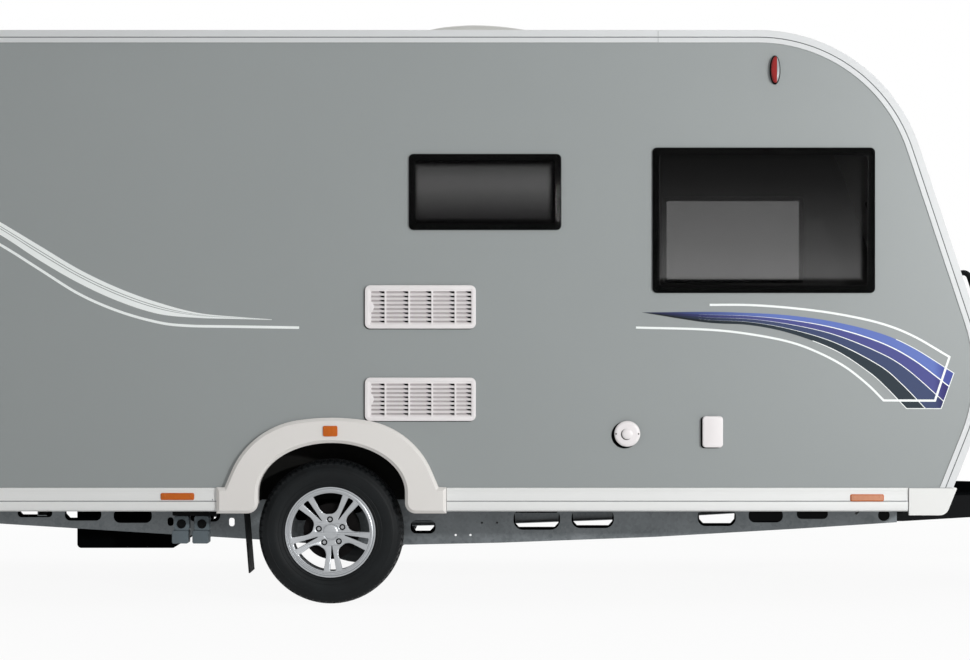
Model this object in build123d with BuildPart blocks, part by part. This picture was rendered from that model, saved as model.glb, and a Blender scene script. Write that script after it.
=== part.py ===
"""Single-axle travel caravan, parked on its two wheels and its jockey wheel.

Millimetres, +X forward, +Y to the left, +Z up. The origin is on the ground, under the
middle of the caravan's length and width. Stations along X are given from the axle.
"""
from math import atan2, cos, degrees, hypot, radians, sin, sqrt, tan
import os

from build123d import *

os.makedirs("parts", exist_ok=True)

# Driving dimensions of the body
REAR_X = -2483.0  # lowest rear edge of the body, from the axle
TOW_TIP_X = 4263.0  # front tip of the coupling, from the axle
AXLE_X = -(REAR_X + TOW_TIP_X) / 2
BODY_WIDTH = 2300.0
BODY_Y = BODY_WIDTH / 2
WALL = 34.0
INNER_Y = BODY_Y - WALL
ROOF_Z = 2630.0
ROOF_ARC_R = 775.0
NOSE_X = 2994.0
NOSE_Z = 1062.0
NOSE_R = 780.0
RAKE_ANGLE = 18.4  # lean of the upper front, from vertical
TUCK_ANGLE = 21.8  # lean of the lower front, from vertical
REAR_ANGLE = 3.5
REAR_ARC_R = 350.0
FLOOR_LOW = 470.0
FLOOR_T = 45.0
SKIRT_LOW = 434.0
SKIRT_TOP = 543.0
FRONT_SEAM_X = 1500.0  # joint between roof and front panel

# Clearances
SEAT_GAP = 0.3  # between pieces that sit on each other
RUN_GAP = 6.0  # between pieces that move past each other
PIN_GAP = 0.5
OVERRUN = 20.0  # how far a cutting shape reaches past what it cuts

# Edge trim
TRIM_PROUD = 5.0
TRIM_WIDTH = 57.0
TRIM_WRAP = 70.0
TRIM_SEAM = 2.0
GROOVE_IN = 31.0
GROOVE_W = 4.0
GROOVE_DEEP = 2.5

# Tyre, wheel and brake drum
TYRE_R = 334.0
TYRE_WIDTH = 205.0
TYRE_IN = 147.5  # middle of the tyre, in from the body's side
TYRE_Y = BODY_Y - TYRE_IN
# Outside of a tyre from the middle of its tread: share of half its width, drop in radius
TYRE_PROFILE = (
    (0.0, 0.0), (0.45, 1.5), (0.72, 5.0), (0.86, 12.0), (0.95, 30.0),
    (1.0, 62.0), (0.99, 84.0), (0.93, 108.0), (0.83, 126.2),
)
RIM_R = 207.5
RIM_FLANGE_W = 9.0
RIM_SEAT_R = 192.0
RIM_HALF = 85.5
BEAD_HALF = RIM_HALF - RIM_FLANGE_W - SEAT_GAP
RIM_WALL = 7.0
FACE_OUT = 29.5  # where the wheel is bolted to the drum, out from the tyre's middle
WHEEL_FACE_Y = TYRE_Y + FACE_OUT


def unit(angle):
    """Unit vector in a sketch at an angle in degrees."""
    return Vector(cos(radians(angle)), sin(radians(angle)))


def side_plane(y):
    """Side view at y: local x forward, local y up. Extruding goes towards -Y."""
    return Plane.XZ.offset(-y)


NOSE_C = Vector(AXLE_X + NOSE_X - NOSE_R, NOSE_Z)
ROOF_C_Z = ROOF_Z - ROOF_ARC_R
ROOF_C_X = NOSE_C.X + (
    NOSE_R - ROOF_ARC_R - sin(radians(RAKE_ANGLE)) * (ROOF_C_Z - NOSE_Z)
) / cos(radians(RAKE_ANGLE))
ROOF_C = Vector(ROOF_C_X, ROOF_C_Z)
REAR_C_Z = ROOF_Z - REAR_ARC_R
REAR_C_X = (
    AXLE_X + REAR_X
    + (REAR_C_Z - SKIRT_LOW) * tan(radians(REAR_ANGLE))
    + REAR_ARC_R / cos(radians(REAR_ANGLE))
)
REAR_C = Vector(REAR_C_X, REAR_C_Z)


def body_face(y, inset, low_z):
    """Side outline of the body, drawn in by inset from its edge and closed at low_z."""
    rake_top = ROOF_C + unit(RAKE_ANGLE) * (ROOF_ARC_R - inset)
    nose_top = NOSE_C + unit(RAKE_ANGLE) * (NOSE_R - inset)
    nose_low = NOSE_C + unit(-TUCK_ANGLE) * (NOSE_R - inset)
    front_drop = nose_low.Y - low_z
    front_foot = nose_low - Vector(front_drop * tan(radians(TUCK_ANGLE)), front_drop)
    rear_top = REAR_C + unit(180 - REAR_ANGLE) * (REAR_ARC_R - inset)
    rear_drop = rear_top.Y - low_z
    rear_foot = rear_top - Vector(rear_drop * tan(radians(REAR_ANGLE)), rear_drop)
    with BuildSketch(side_plane(y)) as face:
        with BuildLine():
            Line(rear_foot, rear_top)
            CenterArc(REAR_C, REAR_ARC_R - inset, 180 - REAR_ANGLE, REAR_ANGLE - 90)
            Line(REAR_C + Vector(0, REAR_ARC_R - inset), ROOF_C + Vector(0, ROOF_ARC_R - inset))
            CenterArc(ROOF_C, ROOF_ARC_R - inset, 90, RAKE_ANGLE - 90)
            Line(rake_top, nose_top)
            CenterArc(NOSE_C, NOSE_R - inset, RAKE_ANGLE, -RAKE_ANGLE - TUCK_ANGLE)
            Line(nose_low, front_foot)
            Line(front_foot, rear_foot)
        make_face()
    return face.sketch


def side_rect(y, x_from, x_to, z_from, z_to):
    """Rectangle in the side view at y."""
    with BuildSketch(side_plane(y)) as face:
        with Locations(((x_from + x_to) / 2, (z_from + z_to) / 2)):
            Rectangle(x_to - x_from, z_to - z_from)
    return face.sketch


def plan_rect(z, x_from, x_to, y_from, y_to):
    """Rectangle in the plan at height z."""
    with BuildSketch(Plane.XY.offset(z)) as face:
        with Locations(((x_from + x_to) / 2, (y_from + y_to) / 2)):
            Rectangle(x_to - x_from, y_to - y_from)
    return face.sketch


def rounded(plane, width, height, radius):
    """Rounded rectangle about a plane's origin."""
    with BuildSketch(plane) as face:
        RectangleRounded(width, height, radius)
    return face.sketch


def disc(plane, radius):
    """Circle about a plane's origin."""
    with BuildSketch(plane) as face:
        Circle(radius)
    return face.sketch


def polygon(plane, points):
    """Closed outline through corner points."""
    with BuildSketch(plane) as face:
        with BuildLine():
            Polyline(*points, close=True)
        make_face()
    return face.sketch


def body_band(outer, inner, half, low_z, x_from, x_to, z_from, z_to):
    """Stretch of a band that follows the body outline, between two insets."""
    with BuildPart() as band:
        extrude(body_face(half, outer, low_z), amount=2 * half)
        extrude(body_face(half, inner, low_z - OVERRUN), amount=2 * half, mode=Mode.SUBTRACT)
        extrude(side_rect(half, x_from, x_to, z_from, z_to), amount=2 * half, mode=Mode.INTERSECT)
    return band.part


# Reach of the whole body, for cutting rectangles
BODY_BACK = AXLE_X + REAR_X - OVERRUN
BODY_FRONT = AXLE_X + NOSE_X + OVERRUN
BODY_HIGH = ROOF_Z + OVERRUN
SEAM_X = AXLE_X + FRONT_SEAM_X

# Wheel opening, the same in wall, trim and wheel box apart from its inset
ARCH_X = 12.0  # middle of the opening, from the axle
ARCH_HALF = 335.0
ARCH_RISE = 228.0
ARCH_Z = 520.0
ARCH_LIP = 6.0
WELL_DEEP = 280.0  # reach of the wheel box in from the body's side
WELL_INNER_Y = BODY_Y - WELL_DEEP
WELL_ROOM = 18.0  # wheel box outside the opening
WELL_T = 5.0


def arch_face(y, grow, low_z):
    """Wheel opening in the side view, grown all round."""
    middle = AXLE_X + ARCH_X
    half = ARCH_HALF + grow
    rise = ARCH_RISE + grow
    with BuildSketch(side_plane(y)) as face:
        with Locations((middle, ARCH_Z)):
            Ellipse(half, rise)
        with Locations((middle, (ARCH_Z + low_z) / 2)):
            Rectangle(2 * half, ARCH_Z - low_z)
        with Locations((middle, low_z - rise)):
            Rectangle(2 * half, 2 * rise, mode=Mode.SUBTRACT)
    return face.sketch


# Windows: side (+1 left), middle along X from the axle, middle height, width, height
SIDE_WINDOWS = (
    (-1, 1981.5, 1762.0, 1015.0, 663.0),
    (-1, 711.0, 1891.0, 695.0, 347.0),
    (1, 2040.0, 1762.0, 800.0, 500.0),
    (1, -1500.0, 1762.0, 900.0, 500.0),
)
WINDOW_R = 22.0
FRAME_LAP = 12.0  # flange over the wall
FRAME_W = 30.0
FRAME_PROUD = 8.0
PANE_MARGIN = 6.0
PANE_SLOPE = 22.0
PANE_RISE = 20.0
PANE_T = 4.0
FRONT_WINDOW_Z = 1700.0
FRONT_WINDOW_W = 1400.0
FRONT_WINDOW_H = 560.0
REAR_WINDOW_Z = 1800.0
REAR_WINDOW_W = 1100.0
REAR_WINDOW_H = 450.0


def wall_plane(side, x, z):
    """Plane on the outside of a side wall, facing out."""
    return Plane(origin=(AXLE_X + x, side * BODY_Y, z), x_dir=(-side, 0, 0), z_dir=(0, side, 0))


def front_plane(y, z):
    """Plane on the raked front wall, facing out."""
    foot = NOSE_C + unit(RAKE_ANGLE) * (NOSE_R - TRIM_PROUD)
    normal = unit(RAKE_ANGLE)
    x = foot.X - (z - foot.Y) * tan(radians(RAKE_ANGLE))
    return Plane(origin=(x, y, z), x_dir=(0, 1, 0), z_dir=(normal.X, 0, normal.Y))


def rear_plane(y, z):
    """Plane on the rear wall, facing back."""
    top = REAR_C + unit(180 - REAR_ANGLE) * (REAR_ARC_R - TRIM_PROUD)
    normal = unit(180 - REAR_ANGLE)
    x = top.X - (top.Y - z) * tan(radians(REAR_ANGLE))
    return Plane(origin=(x, y, z), x_dir=(0, -1, 0), z_dir=(normal.X, 0, normal.Y))


FRONT_WINDOW = (front_plane(0, FRONT_WINDOW_Z), FRONT_WINDOW_W, FRONT_WINDOW_H)
REAR_WINDOW = (rear_plane(0, REAR_WINDOW_Z), REAR_WINDOW_W, REAR_WINDOW_H)


def window_hole(plane, width, height):
    """Cutter for the hole that a window frame sits in."""
    face = rounded(plane, width - 2 * FRAME_LAP, height - 2 * FRAME_LAP, WINDOW_R)
    return extrude(face, amount=WALL + OVERRUN, both=True, mode=Mode.PRIVATE)


# Entrance door, in the left wall
DOOR_X = 850.0
DOOR_WIDTH = 610.0
DOOR_LOW = 575.0
DOOR_HIGH = 2330.0
DOOR_R = 60.0
DOOR_SLEEVE = 20.0
DOOR_FLANGE = 26.0
DOOR_PROUD = 6.0
DOOR_PLANE = wall_plane(1, DOOR_X, (DOOR_LOW + DOOR_HIGH) / 2)
DOOR_HEIGHT = DOOR_HIGH - DOOR_LOW
LEAF_WIDTH = DOOR_WIDTH - 2 * (DOOR_SLEEVE + RUN_GAP)
LEAF_HEIGHT = DOOR_HEIGHT - 2 * (DOOR_SLEEVE + RUN_GAP)
LEAF_R = DOOR_R - DOOR_SLEEVE - RUN_GAP
HINGE_R = 7.0
HINGE_LONG = 38.0
HINGE_TAB = 22.0
HINGE_OUT = 8.0  # hinge line outside the leaf's face
HINGE_Z = (760.0, 1440.0, 2120.0)
HINGE_X = AXLE_X + DOOR_X + LEAF_WIDTH / 2 + HINGE_OUT
HINGE_Y = BODY_Y + DOOR_PROUD + HINGE_OUT

# Gas locker behind the lower front, and its lid
LOCKER_LOW = 590.0
LOCKER_HIGH = 1120.0
LOCKER_IN = 590.0  # side of the locker, in from the body's side
LOCKER_HALF = BODY_Y - LOCKER_IN
LOCKER_BACK_X = 2440.0
LOCKER_WALL = 12.0
LID_HINGE_Y = (-330.0, 330.0)
LID_HINGE_OUT = 8.0

# Side walls: flat sandwich panels
for side, name in ((1, "side_wall_left"), (-1, "side_wall_right")):
    with BuildPart() as side_wall:
        extrude(body_face(max(side * BODY_Y, side * INNER_Y), TRIM_PROUD, FLOOR_LOW), amount=WALL)
        for window_side, x, z, width, height in SIDE_WINDOWS:
            if window_side == side:
                add(window_hole(wall_plane(side, x, z), width, height), mode=Mode.SUBTRACT)
        arch = arch_face(side * BODY_Y, ARCH_LIP + SEAT_GAP, FLOOR_LOW - OVERRUN)
        extrude(arch, amount=WALL + OVERRUN, both=True, mode=Mode.SUBTRACT)
        if side > 0:
            doorway = rounded(DOOR_PLANE, DOOR_WIDTH, DOOR_HEIGHT, DOOR_R)
            extrude(doorway, amount=WALL + OVERRUN, both=True, mode=Mode.SUBTRACT)
    side_wall.part.label = name
    export_step(side_wall.part, f"parts/{name}.step")


def wall_band(half, x_from, x_to, z_from, z_to):
    """Stretch of the sandwich panel that follows the body outline, half as wide as given."""
    return body_band(TRIM_PROUD, TRIM_PROUD + WALL, half, FLOOR_LOW, x_from, x_to, z_from, z_to)


# Roof, rear wall and front wall close the body between the side walls
with BuildPart() as roof_panel:
    add(wall_band(INNER_Y, REAR_C_X, SEAM_X, ROOF_C_Z, BODY_HIGH))
roof_panel.part.label = "roof_panel"
export_step(roof_panel.part, "parts/roof_panel.step")

with BuildPart() as rear_wall:
    add(wall_band(INNER_Y, BODY_BACK, REAR_C_X, FLOOR_LOW, BODY_HIGH))
    add(window_hole(*REAR_WINDOW), mode=Mode.SUBTRACT)
rear_wall.part.label = "rear_wall"
export_step(rear_wall.part, "parts/rear_wall.step")


def nose_x(z, inset):
    """Station of the nose arc at height z."""
    return NOSE_C.X + sqrt((NOSE_R - inset) ** 2 - (z - NOSE_Z) ** 2)


LID_TOP = LOCKER_HIGH - RUN_GAP
LID_AXIS_X = nose_x(LID_TOP, TRIM_PROUD) + LID_HINGE_OUT
LID_AXIS_Z = LID_TOP


def lid_barrel(y, length):
    """Hinge barrel of the locker lid, centred at y."""
    plane = Plane(origin=(LID_AXIS_X, y + length / 2, LID_AXIS_Z), x_dir=(1, 0, 0), z_dir=(0, -1, 0))
    return extrude(disc(plane, HINGE_R), amount=length, mode=Mode.PRIVATE)


def lid_tab(y, length, z_from, rise):
    """Tab from a hinge barrel to the panel behind it."""
    reach = 2 * LID_HINGE_OUT
    face = polygon(side_plane(y + length / 2), (
        (LID_AXIS_X - reach, z_from), (LID_AXIS_X, z_from),
        (LID_AXIS_X, z_from + rise), (LID_AXIS_X - reach, z_from + rise),
    ))
    return extrude(face, amount=length, mode=Mode.PRIVATE)


with BuildPart() as front_wall:
    add(wall_band(INNER_Y, SEAM_X, BODY_FRONT, FLOOR_LOW, BODY_HIGH))
    add(window_hole(*FRONT_WINDOW), mode=Mode.SUBTRACT)
    locker_mouth = side_rect(LOCKER_HALF, SEAM_X, BODY_FRONT, LOCKER_LOW, LOCKER_HIGH)
    extrude(locker_mouth, amount=2 * LOCKER_HALF, mode=Mode.SUBTRACT)
    for y in LID_HINGE_Y:
        add(lid_barrel(y - HINGE_LONG / 2, HINGE_LONG - PIN_GAP))
        add(lid_tab(y - HINGE_LONG / 2, HINGE_LONG - PIN_GAP, LID_AXIS_Z + PIN_GAP, HINGE_TAB))
front_wall.part.label = "front_wall"
export_step(front_wall.part, "parts/front_wall.step")

with BuildPart() as locker_lid:
    add(wall_band(LOCKER_HALF - RUN_GAP, SEAM_X, BODY_FRONT, LOCKER_LOW + RUN_GAP, LID_TOP))
    for y in LID_HINGE_Y:
        add(lid_barrel(y + HINGE_LONG / 2, HINGE_LONG - PIN_GAP))
        add(lid_tab(y + HINGE_LONG / 2, HINGE_LONG - PIN_GAP, LID_AXIS_Z, -HINGE_TAB))
locker_lid.part.label = "locker_lid"
export_step(locker_lid.part, "parts/locker_lid.step")

# Ply box of the gas locker, open towards the lid
with BuildPart() as gas_locker_box:
    box_half = LOCKER_HALF + LOCKER_WALL + RUN_GAP
    box_top = LOCKER_HIGH + LOCKER_WALL + RUN_GAP
    floor_top = FLOOR_LOW + FLOOR_T
    box_back = AXLE_X + LOCKER_BACK_X
    extrude(body_face(box_half, TRIM_PROUD + WALL + SEAT_GAP, FLOOR_LOW), amount=2 * box_half)
    slab = side_rect(box_half, box_back, BODY_FRONT, floor_top, box_top)
    extrude(slab, amount=2 * box_half, mode=Mode.INTERSECT)
    bay = side_rect(
        box_half - LOCKER_WALL, box_back + LOCKER_WALL, BODY_FRONT, FLOOR_LOW, box_top - LOCKER_WALL
    )
    extrude(bay, amount=2 * (box_half - LOCKER_WALL), mode=Mode.SUBTRACT)
gas_locker_box.part.label = "gas_locker_box"
export_step(gas_locker_box.part, "parts/gas_locker_box.step")

# Floor, between the walls, with the two wheel wells cut out
WELL_HALF = ARCH_HALF + WELL_ROOM
with BuildPart() as floor_panel:
    extrude(body_face(INNER_Y, TRIM_PROUD + WALL, FLOOR_LOW), amount=2 * INNER_Y)
    slab = side_rect(INNER_Y, BODY_BACK, BODY_FRONT, FLOOR_LOW, FLOOR_LOW + FLOOR_T)
    extrude(slab, amount=2 * INNER_Y, mode=Mode.INTERSECT)
    for side in (-1, 1):
        well = side_rect(
            max(side * WELL_INNER_Y, side * (INNER_Y + OVERRUN)),
            AXLE_X + ARCH_X - WELL_HALF, AXLE_X + ARCH_X + WELL_HALF,
            FLOOR_LOW - OVERRUN, FLOOR_LOW + FLOOR_T + OVERRUN,
        )
        extrude(well, amount=INNER_Y + OVERRUN - WELL_INNER_Y, mode=Mode.SUBTRACT)
floor_panel.part.label = "floor_panel"
export_step(floor_panel.part, "parts/floor_panel.step")

with BuildPart() as wheel_boxes:
    for side in (-1, 1):
        outer_y = side * (INNER_Y - SEAT_GAP)
        back_y = side * (WELL_INNER_Y + SEAT_GAP)
        depth = INNER_Y - WELL_INNER_Y - 2 * SEAT_GAP
        extrude(arch_face(max(outer_y, back_y), WELL_ROOM - SEAT_GAP, FLOOR_LOW), amount=depth)
        room_y = max(side * (INNER_Y + OVERRUN), side * (WELL_INNER_Y + WELL_T))
        room = arch_face(room_y, WELL_ROOM - WELL_T, FLOOR_LOW - OVERRUN)
        extrude(room, amount=INNER_Y + OVERRUN - WELL_INNER_Y - WELL_T, mode=Mode.SUBTRACT)
wheel_boxes.part.label = "wheel_boxes"
export_step(wheel_boxes.part, "parts/wheel_boxes.step")

# Edge trims: an L section with a groove, in three lengths a side
TRIM_CUTS = (
    (BODY_BACK, REAR_C_X - TRIM_SEAM / 2),
    (REAR_C_X + TRIM_SEAM / 2, SEAM_X - TRIM_SEAM / 2),
    (SEAM_X + TRIM_SEAM / 2, BODY_FRONT),
)


def trim_ring(y_out, depth, outer, inner, low_z):
    """Ring between two insets of the body outline, open at the bottom."""
    with BuildPart() as ring:
        extrude(body_face(y_out, outer, low_z), amount=depth)
        extrude(body_face(y_out, inner, low_z - OVERRUN), amount=depth, mode=Mode.SUBTRACT)
    return ring.part


def trim_length(side, x_from, x_to):
    """One length of edge trim between two stations."""
    face_y = BODY_Y + TRIM_PROUD
    wrap_y = face_y - TRIM_WRAP
    groove_y = face_y - GROOVE_DEEP
    groove = trim_ring(
        max(side * groove_y, side * (face_y + OVERRUN)), GROOVE_DEEP + OVERRUN,
        GROOVE_IN, GROOVE_IN + GROOVE_W, SKIRT_TOP - OVERRUN,
    )
    with BuildPart() as length:
        add(trim_ring(max(side * BODY_Y, side * face_y), TRIM_PROUD, 0, TRIM_WIDTH, SKIRT_TOP))
        add(trim_ring(max(side * wrap_y, side * face_y), TRIM_WRAP, 0, TRIM_PROUD, SKIRT_TOP))
        add(groove, mode=Mode.SUBTRACT)
        slab = side_rect(face_y + OVERRUN, x_from, x_to, SKIRT_TOP, BODY_HIGH)
        extrude(slab, amount=2 * (face_y + OVERRUN), mode=Mode.INTERSECT)
    return length.part


trim_lengths = [trim_length(side, *cut) for side in (-1, 1) for cut in TRIM_CUTS]
with BuildPart() as edge_trims:
    add(trim_lengths)
edge_trims.part.label = "edge_trims"
export_step(edge_trims.part, "parts/edge_trims.step")

# Arch trims: a raised moulding round each wheel opening
MOULD_TOP = 862.0
MOULD_CROWN_R = 1026.0
MOULD_CROWN_HALF = 160.0
MOULD_SIDE_HALF = 455.0
MOULD_SIDE_Z = 620.0
MOULD_LOW_HALF = 487.0
MOULD_FOOT = 523.0
FOOT_LOW = 427.0
FOOT_TOP = 545.0
MOULD_PROUD = 38.0
MOULD_BEVEL = 14.0
MOULD_CORNER = 48.0  # inner corner of a foot
mould_x = AXLE_X + ARCH_X
crown_run = sqrt(MOULD_CROWN_R ** 2 - MOULD_CROWN_HALF ** 2)
crown_z = MOULD_TOP - MOULD_CROWN_R + crown_run


def mould_face(y):
    """Outline of an arch moulding in the side view at y."""
    with BuildSketch(side_plane(y)) as mould:
        with BuildLine():
            for way in (-1, 1):
                crown = (mould_x + way * MOULD_CROWN_HALF, crown_z)
                shoulder = (mould_x + way * MOULD_SIDE_HALF, MOULD_SIDE_Z)
                TangentArc(crown, shoulder, tangent=(way * crown_run, -MOULD_CROWN_HALF))
                Polyline(
                    shoulder,
                    (mould_x + way * MOULD_LOW_HALF, FOOT_TOP),
                    (mould_x + way * MOULD_FOOT, FOOT_TOP),
                    (mould_x + way * MOULD_FOOT, FOOT_LOW),
                    (mould_x, FOOT_LOW),
                )
            ThreePointArc(
                (mould_x - MOULD_CROWN_HALF, crown_z),
                (mould_x, MOULD_TOP),
                (mould_x + MOULD_CROWN_HALF, crown_z),
            )
        make_face()
    return mould.sketch


def arch_moulding(side):
    """Moulding round one wheel opening, with its lip through the wall."""
    opening = arch_face(side * BODY_Y, 0, FOOT_LOW - OVERRUN)
    lip = arch_face(max(side * BODY_Y, side * INNER_Y), ARCH_LIP, FLOOR_LOW)
    with BuildPart() as moulding:
        extrude(mould_face(max(side * BODY_Y, side * (BODY_Y + MOULD_PROUD))), amount=MOULD_PROUD)
        extrude(opening, amount=MOULD_PROUD + OVERRUN, both=True, mode=Mode.SUBTRACT)
        across = moulding.edges().filter_by(Axis.Y)
        low_edges = across.filter_by(lambda e: e.center().Z < FOOT_LOW + SEAT_GAP)
        fillet(low_edges.filter_by(lambda e: abs(e.center().X - mould_x) < ARCH_HALF + SEAT_GAP), MOULD_CORNER)
        chamfer(moulding.faces().sort_by(Axis.Y)[-1 if side > 0 else 0].edges(), MOULD_BEVEL)
        extrude(lip, amount=WALL)
        extrude(opening, amount=WALL + MOULD_PROUD + OVERRUN, both=True, mode=Mode.SUBTRACT)
    return moulding.part


mouldings = [arch_moulding(side) for side in (-1, 1)]
with BuildPart() as arch_trims:
    add(mouldings)
arch_trims.part.label = "arch_trims"
export_step(arch_trims.part, "parts/arch_trims.step")

# Skirts along the sides, and valances across the ends
SKIRT_OUT = 12.0
SKIRT_STEP_Z = 476.0
SKIRT_STEP = 4.0
SKIRT_LIP = 26.0
CAP_X = 2640.0
CAP_OUT = 20.0
SKIRT_SPANS = (
    (REAR_X, ARCH_X - MOULD_FOOT - TRIM_SEAM), (ARCH_X + MOULD_FOOT + TRIM_SEAM, CAP_X)
)
with BuildPart() as body_skirts:
    for side in (-1, 1):
        for x_from, x_to in SKIRT_SPANS:
            inner = side * BODY_Y
            outer = side * (BODY_Y + SKIRT_OUT)
            step = side * (BODY_Y + SKIRT_OUT - SKIRT_STEP)
            lip = side * (BODY_Y - SKIRT_LIP)
            section = polygon(Plane.YZ.offset(AXLE_X + x_from), (
                (inner, SKIRT_TOP), (step, SKIRT_TOP), (step, SKIRT_STEP_Z + SKIRT_STEP),
                (outer, SKIRT_STEP_Z), (outer, SKIRT_LOW), (lip, SKIRT_LOW),
                (lip, SKIRT_LOW + SKIRT_STEP), (inner, SKIRT_LOW + SKIRT_STEP),
            ))
            extrude(section, amount=x_to - x_from)
body_skirts.part.label = "body_skirts"
export_step(body_skirts.part, "parts/body_skirts.step")

# Front corner caps under the edge trims, joined by the front and rear valances
VALANCE_T = 14.0
CAP_LOW = 418.0
CAP_ROUND = 45.0
with BuildPart() as end_valances:
    cap_half = BODY_Y + CAP_OUT
    extrude(body_face(cap_half, -VALANCE_T, CAP_LOW), amount=2 * cap_half)
    across = end_valances.edges().filter_by(Axis.Y)
    low_edges = across.filter_by(lambda e: e.center().Z < CAP_LOW + SEAT_GAP)
    fillet(low_edges.sort_by(Axis.X)[-1], CAP_ROUND)
    extrude(body_face(BODY_Y, TRIM_PROUD, CAP_LOW - OVERRUN), amount=2 * BODY_Y, mode=Mode.SUBTRACT)
    ends = side_rect(cap_half, AXLE_X + CAP_X + TRIM_SEAM, BODY_FRONT, CAP_LOW, SKIRT_TOP - TRIM_SEAM)
    extrude(ends, amount=2 * cap_half, mode=Mode.INTERSECT)
    bar_room = side_rect(INNER_Y, AXLE_X, BODY_FRONT, CAP_LOW - OVERRUN, FLOOR_LOW + TRIM_SEAM)
    extrude(bar_room, amount=2 * INNER_Y, mode=Mode.SUBTRACT)
with BuildPart() as rear_valance:
    half = BODY_Y - SKIRT_LIP - SEAT_GAP
    extrude(body_face(half, 0, SKIRT_LOW), amount=2 * half)
    extrude(body_face(half, TRIM_PROUD, SKIRT_LOW - OVERRUN), amount=2 * half, mode=Mode.SUBTRACT)
    rear_part = side_rect(half, BODY_BACK, AXLE_X, SKIRT_LOW, SKIRT_TOP - TRIM_SEAM)
    extrude(rear_part, amount=2 * half, mode=Mode.INTERSECT)
with BuildPart() as valances:
    add(end_valances.part)
    add(rear_valance.part)
valances.part.label = "end_valances"
export_step(valances.part, "parts/end_valances.step")

# Window frames and their bulged acrylic panes
ALL_WINDOWS = [
    (wall_plane(side, x, z), width, height) for side, x, z, width, height in SIDE_WINDOWS
] + [FRONT_WINDOW, REAR_WINDOW]


def window_frame(plane, width, height):
    """Frame with a flange over the wall and a sleeve through it."""
    lap = FRAME_LAP + SEAT_GAP
    bore = rounded(plane, width - 2 * FRAME_W, height - 2 * FRAME_W, WINDOW_R)
    with BuildPart() as one_frame:
        extrude(rounded(plane, width, height, WINDOW_R), amount=FRAME_PROUD)
        extrude(rounded(plane, width - 2 * lap, height - 2 * lap, WINDOW_R), amount=-WALL)
        extrude(bore, amount=WALL + OVERRUN, both=True, mode=Mode.SUBTRACT)
    return one_frame.part


frames = [window_frame(*window) for window in ALL_WINDOWS]
with BuildPart() as window_frames:
    add(frames)
window_frames.part.label = "window_frames"
export_step(window_frames.part, "parts/window_frames.step")


def bulged_pane(plane, width, height):
    """Hollow shallow dish with sloping sides."""
    with BuildPart() as pane:
        for inset, drop, mode in ((0, 0, Mode.ADD), (PANE_T, PANE_T, Mode.SUBTRACT)):
            foot = rounded(plane, width - 2 * inset, height - 2 * inset, WINDOW_R)
            slope = 2 * (PANE_SLOPE + inset)
            crown = rounded(plane.offset(PANE_RISE - drop), width - slope, height - slope, WINDOW_R)
            loft([foot.faces()[0], crown.faces()[0]], mode=mode)
    return pane.part


panes = [
    bulged_pane(plane.offset(FRAME_PROUD), width - 2 * PANE_MARGIN, height - 2 * PANE_MARGIN)
    for plane, width, height in ALL_WINDOWS
]
with BuildPart() as window_panes:
    add(panes)
window_panes.part.label = "window_panes"
export_step(window_panes.part, "parts/window_panes.step")

# Door frame with its half of the hinges
with BuildPart() as door_frame:
    wide = DOOR_WIDTH + 2 * DOOR_FLANGE
    high = DOOR_HEIGHT + 2 * DOOR_FLANGE
    sleeve_w = DOOR_WIDTH - 2 * SEAT_GAP
    extrude(rounded(DOOR_PLANE, wide, high, DOOR_R + DOOR_FLANGE), amount=DOOR_PROUD)
    extrude(rounded(DOOR_PLANE, sleeve_w, DOOR_HEIGHT - 2 * SEAT_GAP, DOOR_R), amount=-WALL)
    bore = rounded(
        DOOR_PLANE, DOOR_WIDTH - 2 * DOOR_SLEEVE, DOOR_HEIGHT - 2 * DOOR_SLEEVE, DOOR_R - DOOR_SLEEVE
    )
    extrude(bore, amount=WALL + OVERRUN, both=True, mode=Mode.SUBTRACT)
    for z in HINGE_Z:
        barrel = Plane(origin=(HINGE_X, HINGE_Y, z), z_dir=(0, 0, 1))
        extrude(disc(barrel, HINGE_R), amount=HINGE_LONG)
        tab = plan_rect(z, HINGE_X, HINGE_X + HINGE_TAB, HINGE_Y - HINGE_OUT, HINGE_Y)
        extrude(tab, amount=HINGE_LONG)
door_frame.part.label = "door_frame"
export_step(door_frame.part, "parts/door_frame.step")

# Door leaf with a window of its own
DOOR_WINDOW_W = 380.0
DOOR_WINDOW_H = 600.0
DOOR_WINDOW_RISE = 420.0  # above the middle of the leaf
LEAF_PLANE = DOOR_PLANE.offset(DOOR_PROUD)
LEAF_WINDOW = Plane(
    origin=LEAF_PLANE.origin + Vector(0, 0, DOOR_WINDOW_RISE),
    x_dir=LEAF_PLANE.x_dir,
    z_dir=LEAF_PLANE.z_dir,
)
with BuildPart() as door_leaf:
    extrude(rounded(LEAF_PLANE, LEAF_WIDTH, LEAF_HEIGHT, LEAF_R), amount=-WALL)
    hole = rounded(
        LEAF_WINDOW, DOOR_WINDOW_W - 2 * FRAME_W, DOOR_WINDOW_H - 2 * FRAME_W, WINDOW_R
    )
    extrude(hole, amount=WALL + OVERRUN, both=True, mode=Mode.SUBTRACT)
    for z in HINGE_Z:
        top = z - PIN_GAP
        barrel = Plane(origin=(HINGE_X, HINGE_Y, top), z_dir=(0, 0, 1))
        extrude(disc(barrel, HINGE_R), amount=-HINGE_LONG)
        tab = plan_rect(top, HINGE_X - HINGE_TAB, HINGE_X, HINGE_Y - HINGE_OUT, HINGE_Y)
        extrude(tab, amount=-HINGE_LONG)
door_leaf.part.label = "door_leaf"
export_step(door_leaf.part, "parts/door_leaf.step")

with BuildPart() as door_pane:
    add(bulged_pane(LEAF_WINDOW, DOOR_WINDOW_W, DOOR_WINDOW_H))
door_pane.part.label = "door_pane"
export_step(door_pane.part, "parts/door_pane.step")

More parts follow.
